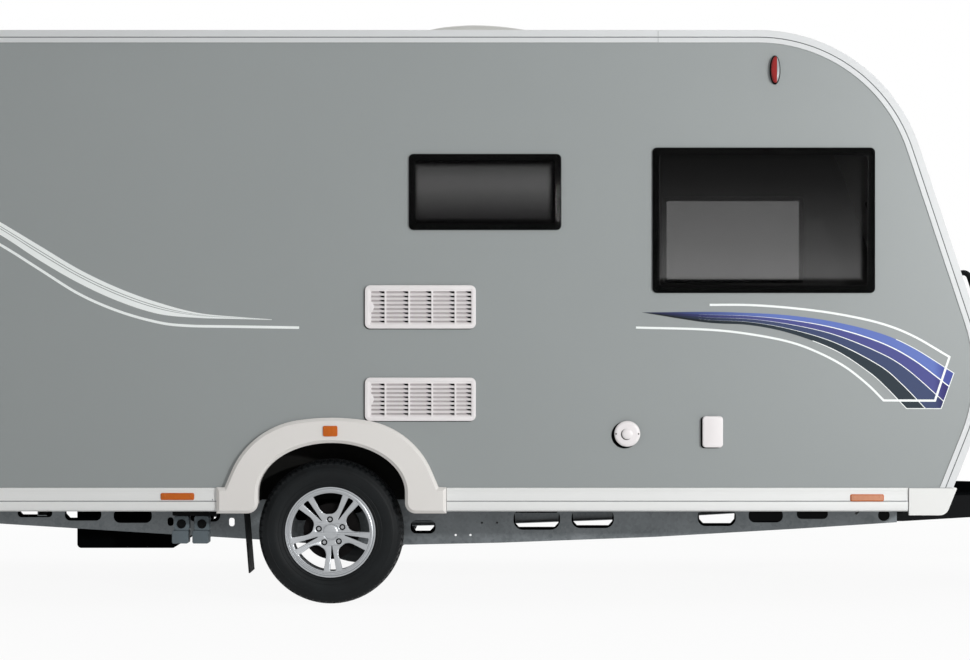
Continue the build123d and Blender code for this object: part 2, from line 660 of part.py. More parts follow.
HANDLE_Z = 1330.0
HANDLE_IN = 62.0  # from the leaf's rear edge
HANDLE_W = 70.0
HANDLE_H = 150.0
HANDLE_T = 9.0
GRIP_W = 26.0
GRIP_OUT = 34.0
handle_x = DOOR_X - LEAF_WIDTH / 2 + HANDLE_IN
handle_plane = wall_plane(1, handle_x, HANDLE_Z).offset(DOOR_PROUD)
with BuildPart() as door_handle:
    extrude(rounded(handle_plane, HANDLE_W, HANDLE_H, GRIP_W / 2), amount=HANDLE_T)
    extrude(rounded(handle_plane.offset(HANDLE_T), GRIP_W, HANDLE_H - GRIP_W, GRIP_W / 3), amount=GRIP_OUT)
    finger = side_rect(
        BODY_Y + DOOR_PROUD + HANDLE_T + GRIP_OUT - GRIP_W / 2,
        handle_plane.origin.X - HANDLE_W, handle_plane.origin.X + HANDLE_W,
        HANDLE_Z - HANDLE_H / 4, HANDLE_Z + HANDLE_H / 4,
    )
    extrude(finger, amount=GRIP_OUT - GRIP_W / 2, mode=Mode.SUBTRACT)
door_handle.part.label = "door_handle"
export_step(door_handle.part, "parts/door_handle.step")

# Refrigerator vents: a moulded frame with rows of slots
VENT_X = 416.0
VENT_Z = (1367.0, 949.0)
VENT_W = 506.0
VENT_H = 198.0
VENT_R = 25.0
VENT_PROUD = 14.0
VENT_BACK = 3.0
VENT_RIM = 20.0
SLOT_ROWS = 8
SLOT_PITCH = 19.0
SLOT_H = 11.0
# Columns of slots: from, to (forward of the vent's middle)
SLOT_COLUMNS = ((-224.0, -163.0), (-155.0, -55.0), (-47.0, 50.0), (58.0, 156.0), (164.0, 232.0))
with BuildPart() as fridge_vents:
    for z in VENT_Z:
        plane = wall_plane(-1, VENT_X, z)
        extrude(rounded(plane, VENT_W, VENT_H, VENT_R), amount=VENT_PROUD)
    fronts = fridge_vents.faces().filter_by(Axis.Y).group_by(Axis.Y)[0]
    chamfer(fronts.edges(), VENT_BACK)
    for z in VENT_Z:
        with BuildSketch(wall_plane(-1, VENT_X, z).offset(VENT_BACK)) as slots:
            for x_from, x_to in SLOT_COLUMNS:
                with Locations(((x_from + x_to) / 2, 0)):
                    with GridLocations(0, SLOT_PITCH, 1, SLOT_ROWS):
                        Rectangle(x_to - x_from, SLOT_H)
        extrude(slots.sketch, amount=VENT_PROUD, mode=Mode.SUBTRACT)
fridge_vents.part.label = "fridge_vents"
export_step(fridge_vents.part, "parts/fridge_vents.step")

# Heater flue cap and water inlet cover
FLUE_X = 1359.0
FLUE_Z = 789.0
FLUE_R = 59.0
FLUE_BASE_R = 46.0
FLUE_BASE = 14.0
FLUE_CAP = 12.0
FLUE_BOSS_R = 25.0
FLUE_BOSS = 9.0
INLET_X = 1748.0
INLET_Z = 798.0
INLET_W = 93.0
INLET_H = 143.0
INLET_T = 26.0
INLET_R = 16.0
with BuildPart() as wall_fittings:
    flue = wall_plane(-1, FLUE_X, FLUE_Z)
    extrude(disc(flue, FLUE_BASE_R), amount=FLUE_BASE)
    extrude(disc(flue.offset(FLUE_BASE), FLUE_R), amount=FLUE_CAP)
    extrude(disc(flue.offset(FLUE_BASE + FLUE_CAP), FLUE_BOSS_R), amount=FLUE_BOSS)
    inlet = wall_plane(-1, INLET_X, INLET_Z)
    extrude(rounded(inlet, INLET_W, INLET_H, INLET_R), amount=INLET_T)
    near_inlet = wall_fittings.faces().filter_by(lambda f: abs(f.center().X - inlet.origin.X) < INLET_W)
    chamfer(near_inlet.sort_by(Axis.Y)[0].edges(), INLET_R / 2)
wall_fittings.part.label = "wall_fittings"
export_step(wall_fittings.part, "parts/wall_fittings.step")

# Amber side lamps on the skirts
LAMP_W = 153.0
LAMP_H = 32.0
LAMP_T = 9.0
SIDE_LAMPS = ((2452.0, 497.0), (-691.0, 503.0))
with BuildPart() as side_lamps:
    for side in (-1, 1):
        for x, z in SIDE_LAMPS:
            plane = wall_plane(side, x, z).offset(SKIRT_OUT - SKIRT_STEP)
            extrude(rounded(plane, LAMP_W, LAMP_H, LAMP_H / 4), amount=LAMP_T)
side_lamps.part.label = "side_lamps"
export_step(side_lamps.part, "parts/side_lamps.step")

REFLECTOR_W = 66.0
REFLECTOR_H = 48.0
REFLECTOR_Z = 801.0
REFLECTOR_T = 6.0
with BuildPart() as arch_reflectors:
    for side in (-1, 1):
        plane = wall_plane(side, ARCH_X, REFLECTOR_Z).offset(MOULD_PROUD)
        extrude(rounded(plane, REFLECTOR_W, REFLECTOR_H, REFLECTOR_T), amount=REFLECTOR_T)
arch_reflectors.part.label = "arch_reflectors"
export_step(arch_reflectors.part, "parts/arch_reflectors.step")

# Oval outline lamps high on the front corners
OUTLINE_X = 2033.0
OUTLINE_Z = 2447.0
OUTLINE_W = 50.0
OUTLINE_H = 133.0
OUTLINE_BASE = 8.0
OUTLINE_LENS = 24.0
OUTLINE_RIM = 5.0
with BuildPart() as outline_lamps:
    for side in (-1, 1):
        plane = wall_plane(side, OUTLINE_X, OUTLINE_Z)
        with BuildSketch(plane) as base:
            Ellipse(OUTLINE_W / 2, OUTLINE_H / 2)
        extrude(base.sketch, amount=OUTLINE_BASE)
        with BuildSketch(plane.offset(OUTLINE_BASE)) as lens:
            Ellipse(OUTLINE_W / 2 - OUTLINE_RIM, OUTLINE_H / 2 - OUTLINE_RIM)
        extrude(lens.sketch, amount=OUTLINE_LENS)
    for end in (-1, 0):
        face = outline_lamps.faces().sort_by(Axis.Y)[end]
        chamfer(face.edges(), OUTLINE_RIM)
outline_lamps.part.label = "outline_lamps"
export_step(outline_lamps.part, "parts/outline_lamps.step")

# Rear lamp clusters
REAR_LAMP_IN = 190.0
REAR_LAMP_Y = BODY_Y - REAR_LAMP_IN
REAR_LAMP_Z = 760.0
REAR_LAMP_W = 190.0
REAR_LAMP_H = 330.0
REAR_LAMP_T = 16.0
with BuildPart() as rear_lamps:
    for side in (-1, 1):
        plane = rear_plane(side * REAR_LAMP_Y, REAR_LAMP_Z)
        extrude(rounded(plane, REAR_LAMP_W, REAR_LAMP_H, REAR_LAMP_T), amount=REAR_LAMP_T)
rear_lamps.part.label = "rear_lamps"
export_step(rear_lamps.part, "parts/rear_lamps.step")

# Low roof unit: a skirt and a shallow sloping lid
UNIT_X = 662.0
UNIT_LONG = 700.0
UNIT_WIDE = 640.0
UNIT_R = 190.0
UNIT_HIGH = 141.0
UNIT_SLOPE_HIGH = 76.0
UNIT_SLOPE_IN = 160.0
with BuildPart() as roof_unit:
    plane = Plane(origin=(AXLE_X + UNIT_X, 0, ROOF_Z - TRIM_PROUD), z_dir=(0, 0, 1))
    extrude(rounded(plane, UNIT_LONG, UNIT_WIDE, UNIT_R), amount=UNIT_HIGH)
    lid_face = roof_unit.faces().sort_by(Axis.Z)[-1]
    chamfer(lid_face.edges(), length=UNIT_SLOPE_IN, length2=UNIT_SLOPE_HIGH, reference=lid_face)
roof_unit.part.label = "roof_unit"
export_step(roof_unit.part, "parts/roof_unit.step")

# Shunting handles at the four corners
GRAB_IN = 130.0
GRAB_Y = BODY_Y - GRAB_IN
GRAB_R = 13.0
GRAB_SIDES = 10
GRAB_OUT = 58.0
GRAB_BEND = 30.0
GRAB_LOW = 1312.0
GRAB_HIGH = 1516.0
GRAB_FOOT_R = 26.0
GRAB_FOOT_T = 6.0


def grab_handle(low, high):
    """Bow handle between two feet on a wall."""
    out = low.z_dir * GRAB_OUT
    with BuildLine() as path:
        FilletPolyline(low.origin, low.origin + out, high.origin + out, high.origin, radius=GRAB_BEND)
    with BuildSketch(low) as bar:
        RegularPolygon(GRAB_R, GRAB_SIDES)
    with BuildPart() as handle:
        sweep(bar.sketch, path=path.line)
        for foot in (low, high):
            extrude(disc(foot, GRAB_FOOT_R), amount=GRAB_FOOT_T)
    return handle.part


grabs = [
    grab_handle(corner(side * GRAB_Y, GRAB_LOW), corner(side * GRAB_Y, GRAB_HIGH))
    for corner in (front_plane, rear_plane) for side in (-1, 1)
]
with BuildPart() as grab_handles:
    add(grabs)
grab_handles.part.label = "grab_handles"
export_step(grab_handles.part, "parts/grab_handles.step")

# Chassis rails: folded C sections, deepest at the axle, with long slots in the web
RAIL_IN = 550.0  # outer face of the web, in from the body's side
RAIL_Y = BODY_Y - RAIL_IN
RAIL_T = 4.0
RAIL_FLANGE = 50.0
RAIL_TOP = FLOOR_LOW
# Lower edge of a rail: station from the axle, height
RAIL_LOW = (
    (2674.0, 342.0), (2210.0, 312.0), (1515.0, 272.0), (773.0, 244.0), (342.0, 235.0),
    (-60.0, 235.0), (-360.0, 258.0), (-902.0, 291.0), (-1597.0, 334.0), (-2330.0, 380.0),
)
SLOT_TOP = 408.0
# Slots in a rail: from, to (stations from the axle), lower edge, upper edge
RAIL_SLOTS = (
    (345.0, 465.0, 288.0, 352.0), (838.0, 1061.0, 306.0, SLOT_TOP), (1116.0, 1319.0, 314.0, SLOT_TOP),
    (1720.0, 1903.0, 324.0, SLOT_TOP), (1964.0, 2128.0, 341.0, SLOT_TOP),
    (2195.0, 2344.0, 358.0, SLOT_TOP), (-1077.0, -894.0, 339.0, SLOT_TOP),
    (-1311.0, -1136.0, 350.0, SLOT_TOP), (-1537.0, -1371.0, 366.0, SLOT_TOP),
    (-716.0, -567.0, 345.0, SLOT_TOP), (-524.0, -498.0, 323.0, 364.0), (-819.0, -790.0, 325.0, 366.0),
)
SLOT_ROUND_SHARE = 0.45  # corner radius over a slot's smaller size
# Round holes: station from the axle, height, radius
RAIL_HOLES = (
    (687.0, 340.0, 5.25), (759.0, 340.0, 5.25), (561.0, 281.0, 5.25), (632.0, 281.0, 5.25),
    (2612.0, 376.0, 28.0),
)
BEAM_X = 150.0
BEAM_Z = 360.0
BEAM_R = 58.0
BEAM_PAST = 170.0  # beam past the rails
BEAM_Y = RAIL_Y + BEAM_PAST
BEAM_SIDES = 8


def beam_face(x_from, grow):
    """Octagon of the axle beam in the side view at y = x_from."""
    with BuildSketch(side_plane(x_from)) as face:
        with Locations((AXLE_X + BEAM_X, BEAM_Z)):
            RegularPolygon(BEAM_R + grow, BEAM_SIDES, rotation=180 / BEAM_SIDES)
    return face.sketch


def rail_cuts(y):
    """Slots and bracket holes of a rail in the side view at y."""
    with BuildSketch(side_plane(y)) as cuts:
        for x_from, x_to, z_from, z_to in RAIL_SLOTS:
            with Locations((AXLE_X + (x_from + x_to) / 2, (z_from + z_to) / 2)):
                wide = x_to - x_from
                high = z_to - z_from
                RectangleRounded(wide, high, min(wide, high) * SLOT_ROUND_SHARE)
        for x, z, radius in RAIL_HOLES:
            with Locations((AXLE_X + x, z)):
                Circle(radius)
    return cuts.sketch


def chassis_rail(side):
    """One rail: a web with two flanges turned inward."""
    web_y = side * RAIL_Y
    lip_y = side * (RAIL_Y - RAIL_FLANGE)
    inner_y = side * (RAIL_Y - RAIL_T)
    past_y = side * (RAIL_Y - RAIL_FLANGE - OVERRUN)
    outline = [(AXLE_X + x, z) for x, z in RAIL_LOW]
    outline += [(AXLE_X + RAIL_LOW[-1][0], RAIL_TOP), (AXLE_X + RAIL_LOW[0][0], RAIL_TOP)]
    inside = [(AXLE_X + x, z + RAIL_T) for x, z in RAIL_LOW]
    inside[0] = (inside[0][0] + OVERRUN, inside[0][1])
    inside[-1] = (inside[-1][0] - OVERRUN, inside[-1][1])
    inside += [(inside[-1][0], RAIL_TOP - RAIL_T), (inside[0][0], RAIL_TOP - RAIL_T)]
    with BuildPart() as rail:
        extrude(polygon(side_plane(max(web_y, lip_y)), outline), amount=RAIL_FLANGE)
        hollow = polygon(side_plane(max(inner_y, past_y)), inside)
        extrude(hollow, amount=RAIL_FLANGE + OVERRUN - RAIL_T, mode=Mode.SUBTRACT)
        extrude(rail_cuts(web_y), amount=OVERRUN, both=True, mode=Mode.SUBTRACT)
        extrude(beam_face(web_y, SEAT_GAP), amount=OVERRUN, both=True, mode=Mode.SUBTRACT)
    return rail.part


rails = [chassis_rail(side) for side in (-1, 1)]
with BuildPart() as chassis_rails:
    add(rails)
chassis_rails.part.label = "chassis_rails"
export_step(chassis_rails.part, "parts/chassis_rails.step")

# Drawbar: two members bolted inside the rails, bent in to meet at the coupling
BAR_HALF = 24.0
BAR_BACK_X = 1930.0
BAR_BEND_X = 2700.0
BAR_FRONT_X = 3960.0
BAR_FRONT_Y = 76.0
BAR_LOW = 347.0
BAR_TOP = RAIL_TOP - RAIL_T - SEAT_GAP
BAR_NOSE_LOW = 378.0
BAR_BACK_Y = RAIL_Y - RAIL_T - SEAT_GAP - BAR_HALF
bar_slope = (BAR_BACK_Y - BAR_FRONT_Y) / (BAR_FRONT_X - BAR_BEND_X)
bar_reach = BAR_HALF * hypot(1, bar_slope)  # half a member measured across the caravan
bar_miter = BAR_HALF * (hypot(1, bar_slope) - 1) / bar_slope


def bar_y(x):
    """Distance of a member's middle line from the caravan's middle, x from the axle."""
    return BAR_FRONT_Y + (BAR_FRONT_X - x) * bar_slope


# Folded cross-members between the rails: station from the axle, lower edge
CROSS_MEMBERS = ((-2290.0, 392.0), (-1420.0, 372.0), (1560.0, 372.0), (2600.0, 392.0))
CROSS_W = 45.0
CROSS_T = 4.0
CROSS_TOP = RAIL_TOP - RAIL_T - SEAT_GAP
with BuildPart() as cross_members:
    for x, low in CROSS_MEMBERS:
        half = (RAIL_Y - RAIL_T if x < BAR_BACK_X else BAR_BACK_Y - BAR_HALF) - SEAT_GAP
        left = AXLE_X + x - CROSS_W / 2
        right = AXLE_X + x + CROSS_W / 2
        extrude(side_rect(half, left, right, low, CROSS_TOP), amount=2 * half)
        gap = side_rect(half, left + CROSS_T, right + CROSS_T, low + CROSS_T, CROSS_TOP - CROSS_T)
        extrude(gap, amount=2 * half, mode=Mode.SUBTRACT)
cross_members.part.label = "cross_members"
export_step(cross_members.part, "parts/cross_members.step")

with BuildPart() as axle_beam:
    extrude(beam_face(BEAM_Y, 0), amount=2 * BEAM_Y)
axle_beam.part.label = "axle_beam"
export_step(axle_beam.part, "parts/axle_beam.step")

# Trailing arms with brake back plates and stub axles
ARM_T = 34.0
ARM_R = 48.0
PLATE_IN = 127.0  # back plate in from the wheel's face
PLATE_Y = WHEEL_FACE_Y - PLATE_IN
PLATE_T = 4.0
PLATE_R = 124.0
STUB_R = 21.0
STUB_PAST = 12.0
DRUM_IN_Y = PLATE_Y + PLATE_T + RUN_GAP
DRUM_R = 128.0
DRUM_WALL = 8.0
STUB_END_Y = WHEEL_FACE_Y + STUB_PAST


def wheel_plane(side, y):
    """Plane across the wheel axis at distance y from the middle, facing out."""
    return Plane(origin=(AXLE_X, side * y, TYRE_R), x_dir=(-side, 0, 0), z_dir=(0, side, 0))


def swing_arm(side):
    """Trailing arm from the end of the beam to the wheel, with its stub axle."""
    arm_y = BEAM_Y + SEAT_GAP
    lean = degrees(atan2(BEAM_Z - TYRE_R, BEAM_X))
    with BuildSketch(side_plane(max(side * arm_y, side * (arm_y + ARM_T)))) as arm:
        with Locations(Location((AXLE_X + BEAM_X / 2, (TYRE_R + BEAM_Z) / 2, 0), (0, 0, lean))):
            SlotCenterToCenter(hypot(BEAM_X, BEAM_Z - TYRE_R), 2 * ARM_R)
    arm_end = wheel_plane(side, arm_y + ARM_T)
    with BuildPart() as one_arm:
        extrude(arm.sketch, amount=ARM_T)
        extrude(disc(arm_end, STUB_R + DRUM_WALL), amount=PLATE_Y - arm_y - ARM_T)
        extrude(disc(wheel_plane(side, PLATE_Y), PLATE_R), amount=PLATE_T)
        extrude(disc(wheel_plane(side, PLATE_Y), STUB_R), amount=STUB_END_Y - PLATE_Y)
    return one_arm.part


arms = [swing_arm(side) for side in (-1, 1)]
with BuildPart() as swing_arms:
    add(arms)
swing_arms.part.label = "swing_arms"
export_step(swing_arms.part, "parts/swing_arms.step")

# Brake drums with their hubs
HUB_R = 32.0
HUB_OUT = 18.0
DRUM_FACE = 9.0
for side, name in ((1, "drum_left"), (-1, "drum_right")):
    with BuildPart() as drum:
        face_y = WHEEL_FACE_Y - SEAT_GAP
        extrude(disc(wheel_plane(side, DRUM_IN_Y), DRUM_R), amount=face_y - DRUM_IN_Y)
        inside = face_y - DRUM_FACE - DRUM_IN_Y
        extrude(disc(wheel_plane(side, DRUM_IN_Y), DRUM_R - DRUM_WALL), amount=inside, mode=Mode.SUBTRACT)
        extrude(disc(wheel_plane(side, DRUM_IN_Y), HUB_R), amount=face_y + HUB_OUT - DRUM_IN_Y)
        bore = disc(wheel_plane(side, DRUM_IN_Y), STUB_R + PIN_GAP)
        extrude(bore, amount=STUB_END_Y + PIN_GAP - DRUM_IN_Y, mode=Mode.SUBTRACT)
    drum.part.label = name
    export_step(drum.part, f"parts/{name}.step")


def wheel_section(side):
    """Half-plane through the wheel axis: local x outward from the middle, local y radius."""
    return Plane(origin=(AXLE_X, 0, TYRE_R), x_dir=(0, side, 0), z_dir=(side, 0, 0))


WHEEL_AXIS = Axis((AXLE_X, 0, TYRE_R), (0, 1, 0))

for side, name in ((1, "tyre_left"), (-1, "tyre_right")):
    with BuildPart() as tyre:
        with BuildSketch(wheel_section(side)) as section:
            with BuildLine():
                bead = RIM_SEAT_R + SEAT_GAP
                rest = RIM_R + SEAT_GAP
                Line((TYRE_Y - BEAD_HALF, bead), (TYRE_Y + BEAD_HALF, bead))
                for way in (-1, 1):
                    outside = [
                        (TYRE_Y + way * share * TYRE_WIDTH / 2, TYRE_R - drop)
                        for share, drop in TYRE_PROFILE
                    ]
                    Polyline(
                        (TYRE_Y + way * BEAD_HALF, bead),
                        (TYRE_Y + way * BEAD_HALF, rest),
                        (TYRE_Y + way * RIM_HALF, rest),
                        *reversed(outside),
                    )
            make_face()
        revolve(section.sketch, axis=WHEEL_AXIS)
    tyre.part.label = name
    export_step(tyre.part, f"parts/{name}.step")

# Alloy rims with five split spokes
SPOKES = 5
SPOKE_PHASE = -88.0  # direction of the lowest pair, seen from outside
SPOKE_ROOT = 40.0
SPOKE_ROOT_HALF = 22.0
SPOKE_TIP_HALF = 35.0
SPLIT_ROOT = 84.0
SPLIT_ROOT_HALF = 2.5
SPLIT_TIP_HALF = 12.5
RING_W = 17.0
DISH_HUB_R = 66.0
DISH_HUB = 28.0
DISH_RIM = 50.0
DISH_T = 24.0
CAP_T = 6.0
BOLT_CIRCLE = 56.0
BOLT_R = 12.0
BOLT_FLOOR = 12.0


def spoke_pair(inner, inner_half, outer, outer_half):
    """Tapered outline along local x."""
    return (inner, -inner_half), (outer, -outer_half), (outer, outer_half), (inner, inner_half)


for side, name in ((1, "rim_left"), (-1, "rim_right")):
    with BuildPart() as rim:
        face_plane = wheel_plane(side, WHEEL_FACE_Y)
        barrel_r = RIM_SEAT_R - RIM_WALL
        with BuildSketch(face_plane) as pattern:
            Circle(DISH_HUB_R)
            with PolarLocations(0, SPOKES, start_angle=SPOKE_PHASE):
                Polygon(*spoke_pair(SPOKE_ROOT, SPOKE_ROOT_HALF, barrel_r, SPOKE_TIP_HALF), align=None)
            with PolarLocations(0, SPOKES, start_angle=SPOKE_PHASE):
                Polygon(
                    *spoke_pair(SPLIT_ROOT, SPLIT_ROOT_HALF, barrel_r, SPLIT_TIP_HALF),
                    align=None, mode=Mode.SUBTRACT,
                )
            with PolarLocations(BOLT_CIRCLE, SPOKES, start_angle=SPOKE_PHASE + 180 / SPOKES):
                Circle(BOLT_R, mode=Mode.SUBTRACT)
        extrude(pattern.sketch, amount=DISH_RIM + DISH_T)
        with BuildSketch(wheel_section(side)) as dish:
            with BuildLine():
                Polyline(
                    (WHEEL_FACE_Y, 0),
                    (WHEEL_FACE_Y, DISH_HUB_R),
                    (WHEEL_FACE_Y + DISH_RIM - DISH_T, barrel_r),
                    (WHEEL_FACE_Y + DISH_RIM, barrel_r),
                    (WHEEL_FACE_Y + DISH_HUB, DISH_HUB_R),
                    (WHEEL_FACE_Y + DISH_HUB, 0),
                    close=True,
                )
            make_face()
        revolve(dish.sketch, axis=WHEEL_AXIS, mode=Mode.INTERSECT)
        hub_room = disc(face_plane, HUB_R + PIN_GAP)
        extrude(hub_room, amount=DISH_HUB - CAP_T, mode=Mode.SUBTRACT)
        with BuildSketch(wheel_section(side)) as barrel:
            with BuildLine():
                out = TYRE_Y + RIM_HALF
                back = TYRE_Y - RIM_HALF
                Polyline(
                    (out, RIM_R),
                    (out - RIM_FLANGE_W, RIM_R),
                    (out - RIM_FLANGE_W, RIM_SEAT_R),
                    (back + RIM_FLANGE_W, RIM_SEAT_R),
                    (back + RIM_FLANGE_W, RIM_R),
                    (back, RIM_R),
                    (back, barrel_r),
                    (WHEEL_FACE_Y + DISH_RIM - DISH_T, barrel_r - SEAT_GAP),
                    (WHEEL_FACE_Y + DISH_RIM - RIM_WALL, barrel_r - RING_W / 2),
                    (out, RIM_R - RING_W),
                    close=True,
                )
            make_face()
        revolve(barrel.sketch, axis=WHEEL_AXIS)
    rim.part.label = name
    export_step(rim.part, f"parts/{name}.step")

# Drawbar members
for side, name in ((1, "drawbar_left"), (-1, "drawbar_right")):
    with BuildPart() as drawbar:
        plan = (
            (AXLE_X + BAR_BACK_X, side * (BAR_BACK_Y + BAR_HALF)),
            (AXLE_X + BAR_BEND_X + bar_miter, side * (BAR_BACK_Y + BAR_HALF)),
            (AXLE_X + BAR_FRONT_X, side * (BAR_FRONT_Y + bar_reach)),
            (AXLE_X + BAR_FRONT_X, side * (BAR_FRONT_Y - bar_reach)),
            (AXLE_X + BAR_BEND_X - bar_miter, side * (BAR_BACK_Y - BAR_HALF)),
            (AXLE_X + BAR_BACK_X, side * (BAR_BACK_Y - BAR_HALF)),
        )
        extrude(polygon(Plane.XY.offset(BAR_LOW), plan), amount=BAR_TOP - BAR_LOW)
        under = (
            (AXLE_X + BAR_BEND_X, BAR_LOW), (AXLE_X + BAR_FRONT_X, BAR_NOSE_LOW),
            (AXLE_X + BAR_FRONT_X, BAR_LOW),
        )
        cut = polygon(side_plane(BAR_BACK_Y + 2 * BAR_HALF), under)
        extrude(cut, amount=2 * (BAR_BACK_Y + 2 * BAR_HALF), mode=Mode.SUBTRACT)
    drawbar.part.label = name
    export_step(drawbar.part, f"parts/{name}.step")

# Plastic cover on the A-frame
COVER_T = 12.0
COVER_BACK_X = 2900.0
COVER_FRONT_X = 3560.0
COVER_LAP = 40.0
with BuildPart() as drawbar_cover:
    cover_low = BAR_TOP + SEAT_GAP
    back_y = bar_y(COVER_BACK_X) + COVER_LAP
    front_y = bar_y(COVER_FRONT_X) + COVER_LAP
    plan = (
        (AXLE_X + COVER_BACK_X, -back_y), (AXLE_X + COVER_FRONT_X, -front_y),
        (AXLE_X + COVER_FRONT_X, front_y), (AXLE_X + COVER_BACK_X, back_y),
    )
    extrude(polygon(Plane.XY.offset(cover_low), plan), amount=COVER_T)
    chamfer(drawbar_cover.faces().sort_by(Axis.Z)[-1].edges(), COVER_T / 3)
drawbar_cover.part.label = "drawbar_cover"
export_step(drawbar_cover.part, "parts/drawbar_cover.step")

# Overrun device: housing between the members, drawtube and bellows
OVERRUN_BACK_X = 3700.0
OVERRUN_ABOVE = 14.0
OVERRUN_TOP = BAR_TOP + OVERRUN_ABOVE
OVERRUN_Z = 430.0
TUBE_END_X = 4130.0
TUBE_R = 25.0
BELLOWS_R = 40.0
BELLOWS_ROOT_R = 32.0
BELLOWS_FOLDS = 6
with BuildPart() as overrun_device:
    plan = tuple(
        (AXLE_X + x, side * (bar_y(x) - bar_reach - SEAT_GAP))
        for x, side in (
            (OVERRUN_BACK_X, -1), (BAR_FRONT_X, -1), (BAR_FRONT_X, 1), (OVERRUN_BACK_X, 1),
        )
    )
    extrude(polygon(Plane.XY.offset(BAR_NOSE_LOW), plan), amount=OVERRUN_TOP - BAR_NOSE_LOW)
    tube_plane = Plane(origin=(AXLE_X + BAR_FRONT_X, 0, OVERRUN_Z), z_dir=(1, 0, 0))
    extrude(disc(tube_plane, TUBE_R), amount=TUBE_END_X - BAR_FRONT_X)
    half_fold = (TUBE_END_X - BAR_FRONT_X) / 4 / BELLOWS_FOLDS
    folds = [
        (AXLE_X + BAR_FRONT_X + index * half_fold, OVERRUN_Z + (BELLOWS_R if index % 2 else BELLOWS_ROOT_R))
        for index in range(2 * BELLOWS_FOLDS + 1)
    ]
    bellows = polygon(side_plane(0), [(folds[0][0], OVERRUN_Z), *folds, (folds[-1][0], OVERRUN_Z)])
    revolve(bellows, axis=Axis((0, 0, OVERRUN_Z), (1, 0, 0)))
overrun_device.part.label = "overrun_device"
export_step(overrun_device.part, "parts/overrun_device.step")

# Coupling head that takes a 50 mm tow ball
BALL_R = 25.0
BALL_GAP = 0.2
BALL_IN = 45.0  # ball centre behind the tip
CUP_R = BALL_IN
CUP_LOW = 402.0
CUP_TOP = 474.0
HEAD_HALF = 34.0
HEAD_LAP = 62.0
HEAD_BACK_X = TUBE_END_X - HEAD_LAP
SOCKET_TOP = OVERRUN_Z + BALL_R
LATCH_W = 24.0
LATCH_T = 10.0
LATCH_RISE = 58.0
with BuildPart() as coupling_head:
    ball_x = AXLE_X + TOW_TIP_X - BALL_IN
    cup_plane = Plane(origin=(ball_x, 0, CUP_LOW), z_dir=(0, 0, 1))
    neck = plan_rect(CUP_LOW, AXLE_X + HEAD_BACK_X, ball_x, -HEAD_HALF, HEAD_HALF)
    extrude(neck, amount=CUP_TOP - CUP_LOW)
    extrude(disc(cup_plane, CUP_R), amount=CUP_TOP - CUP_LOW)
    extrude(disc(cup_plane, BALL_R + BALL_GAP), amount=SOCKET_TOP - CUP_LOW, mode=Mode.SUBTRACT)
    tube_hole = Plane(origin=(AXLE_X + HEAD_BACK_X, 0, OVERRUN_Z), z_dir=(1, 0, 0))
    extrude(disc(tube_hole, TUBE_R + SEAT_GAP), amount=TUBE_END_X - HEAD_BACK_X, mode=Mode.SUBTRACT)
    latch = (
        (AXLE_X + TUBE_END_X, CUP_TOP), (ball_x, CUP_TOP),
        (ball_x - CUP_R, CUP_TOP + LATCH_RISE), (AXLE_X + HEAD_BACK_X, CUP_TOP + LATCH_RISE),
        (AXLE_X + HEAD_BACK_X, CUP_TOP + LATCH_RISE - LATCH_T),
        (ball_x - CUP_R - LATCH_T, CUP_TOP + LATCH_RISE - LATCH_T),
    )
    extrude(polygon(side_plane(LATCH_W / 2), latch), amount=LATCH_W)
coupling_head.part.label = "coupling_head"
export_step(coupling_head.part, "parts/coupling_head.step")

# Handbrake lever, standing on the overrun housing
LEVER_BACK_X = 3800.0
LEVER_Y = 30.0
LEVER_T = 10.0
LEVER_W = 30.0
LEVER_LONG = 300.0
LEVER_LEAN = 68.0
LEVER_GRIP_R = 15.0
LEVER_GRIP = 110.0
with BuildPart() as handbrake_lever:
    lean = unit(LEVER_LEAN)
    across = Vector(-lean.Y, lean.X)
    foot = Vector(AXLE_X + LEVER_BACK_X, OVERRUN_TOP + LEVER_W / 2)
    arm = (
        foot - across * LEVER_W / 2, foot - across * LEVER_W / 2 + lean * LEVER_LONG,
        foot + across * LEVER_W / 2 + lean * LEVER_LONG, foot + across * LEVER_W / 2,
    )
    extrude(polygon(side_plane(LEVER_Y), arm), amount=LEVER_T)
    base = side_rect(LEVER_Y, foot.X - LEVER_W, foot.X + LEVER_W, OVERRUN_TOP, OVERRUN_TOP + LEVER_W)
    extrude(base, amount=LEVER_T)
    grip_foot = foot + lean * (LEVER_LONG - LEVER_GRIP)
    grip = Plane(origin=(grip_foot.X, LEVER_Y - LEVER_T / 2, grip_foot.Y), z_dir=(lean.X, 0, lean.Y))
    extrude(disc(grip, LEVER_GRIP_R), amount=LEVER_GRIP + LEVER_GRIP_R)
handbrake_lever.part.label = "handbrake_lever"
export_step(handbrake_lever.part, "parts/handbrake_lever.step")

# Jockey wheel: clamped mast, sliding leg, swivelling fork and wheel
JOCKEY_X = 3650.0
MAST_R = 30.0
LEG_R = 24.0
CLAMP_GAP = 12.0
CLAMP_HALF = 30.0
CLAMP_LOW = 392.0
CLAMP_HIGH = 452.0
MAST_LOW = 336.0
MAST_TOP = 836.0
MAST_CAP = 12.0
CASTOR_R = 107.5
CASTOR_W = 50.0
CASTOR_TRAIL = 45.0
CROWN_LOW = 222.0
CROWN_T = 15.0
CROWN_R = 30.0
FORK_T = 5.0
FORK_HALF = CASTOR_W / 2 + RUN_GAP
FORK_W = 34.0
PIN_R = 8.0
LEG_TOP = 735.0
CRANK_OUT = 120.0
CRANK_T = 10.0
CRANK_GRIP = 70.0
JOCKEY_Y = -(bar_y(JOCKEY_X) + bar_reach + CLAMP_GAP + MAST_R)


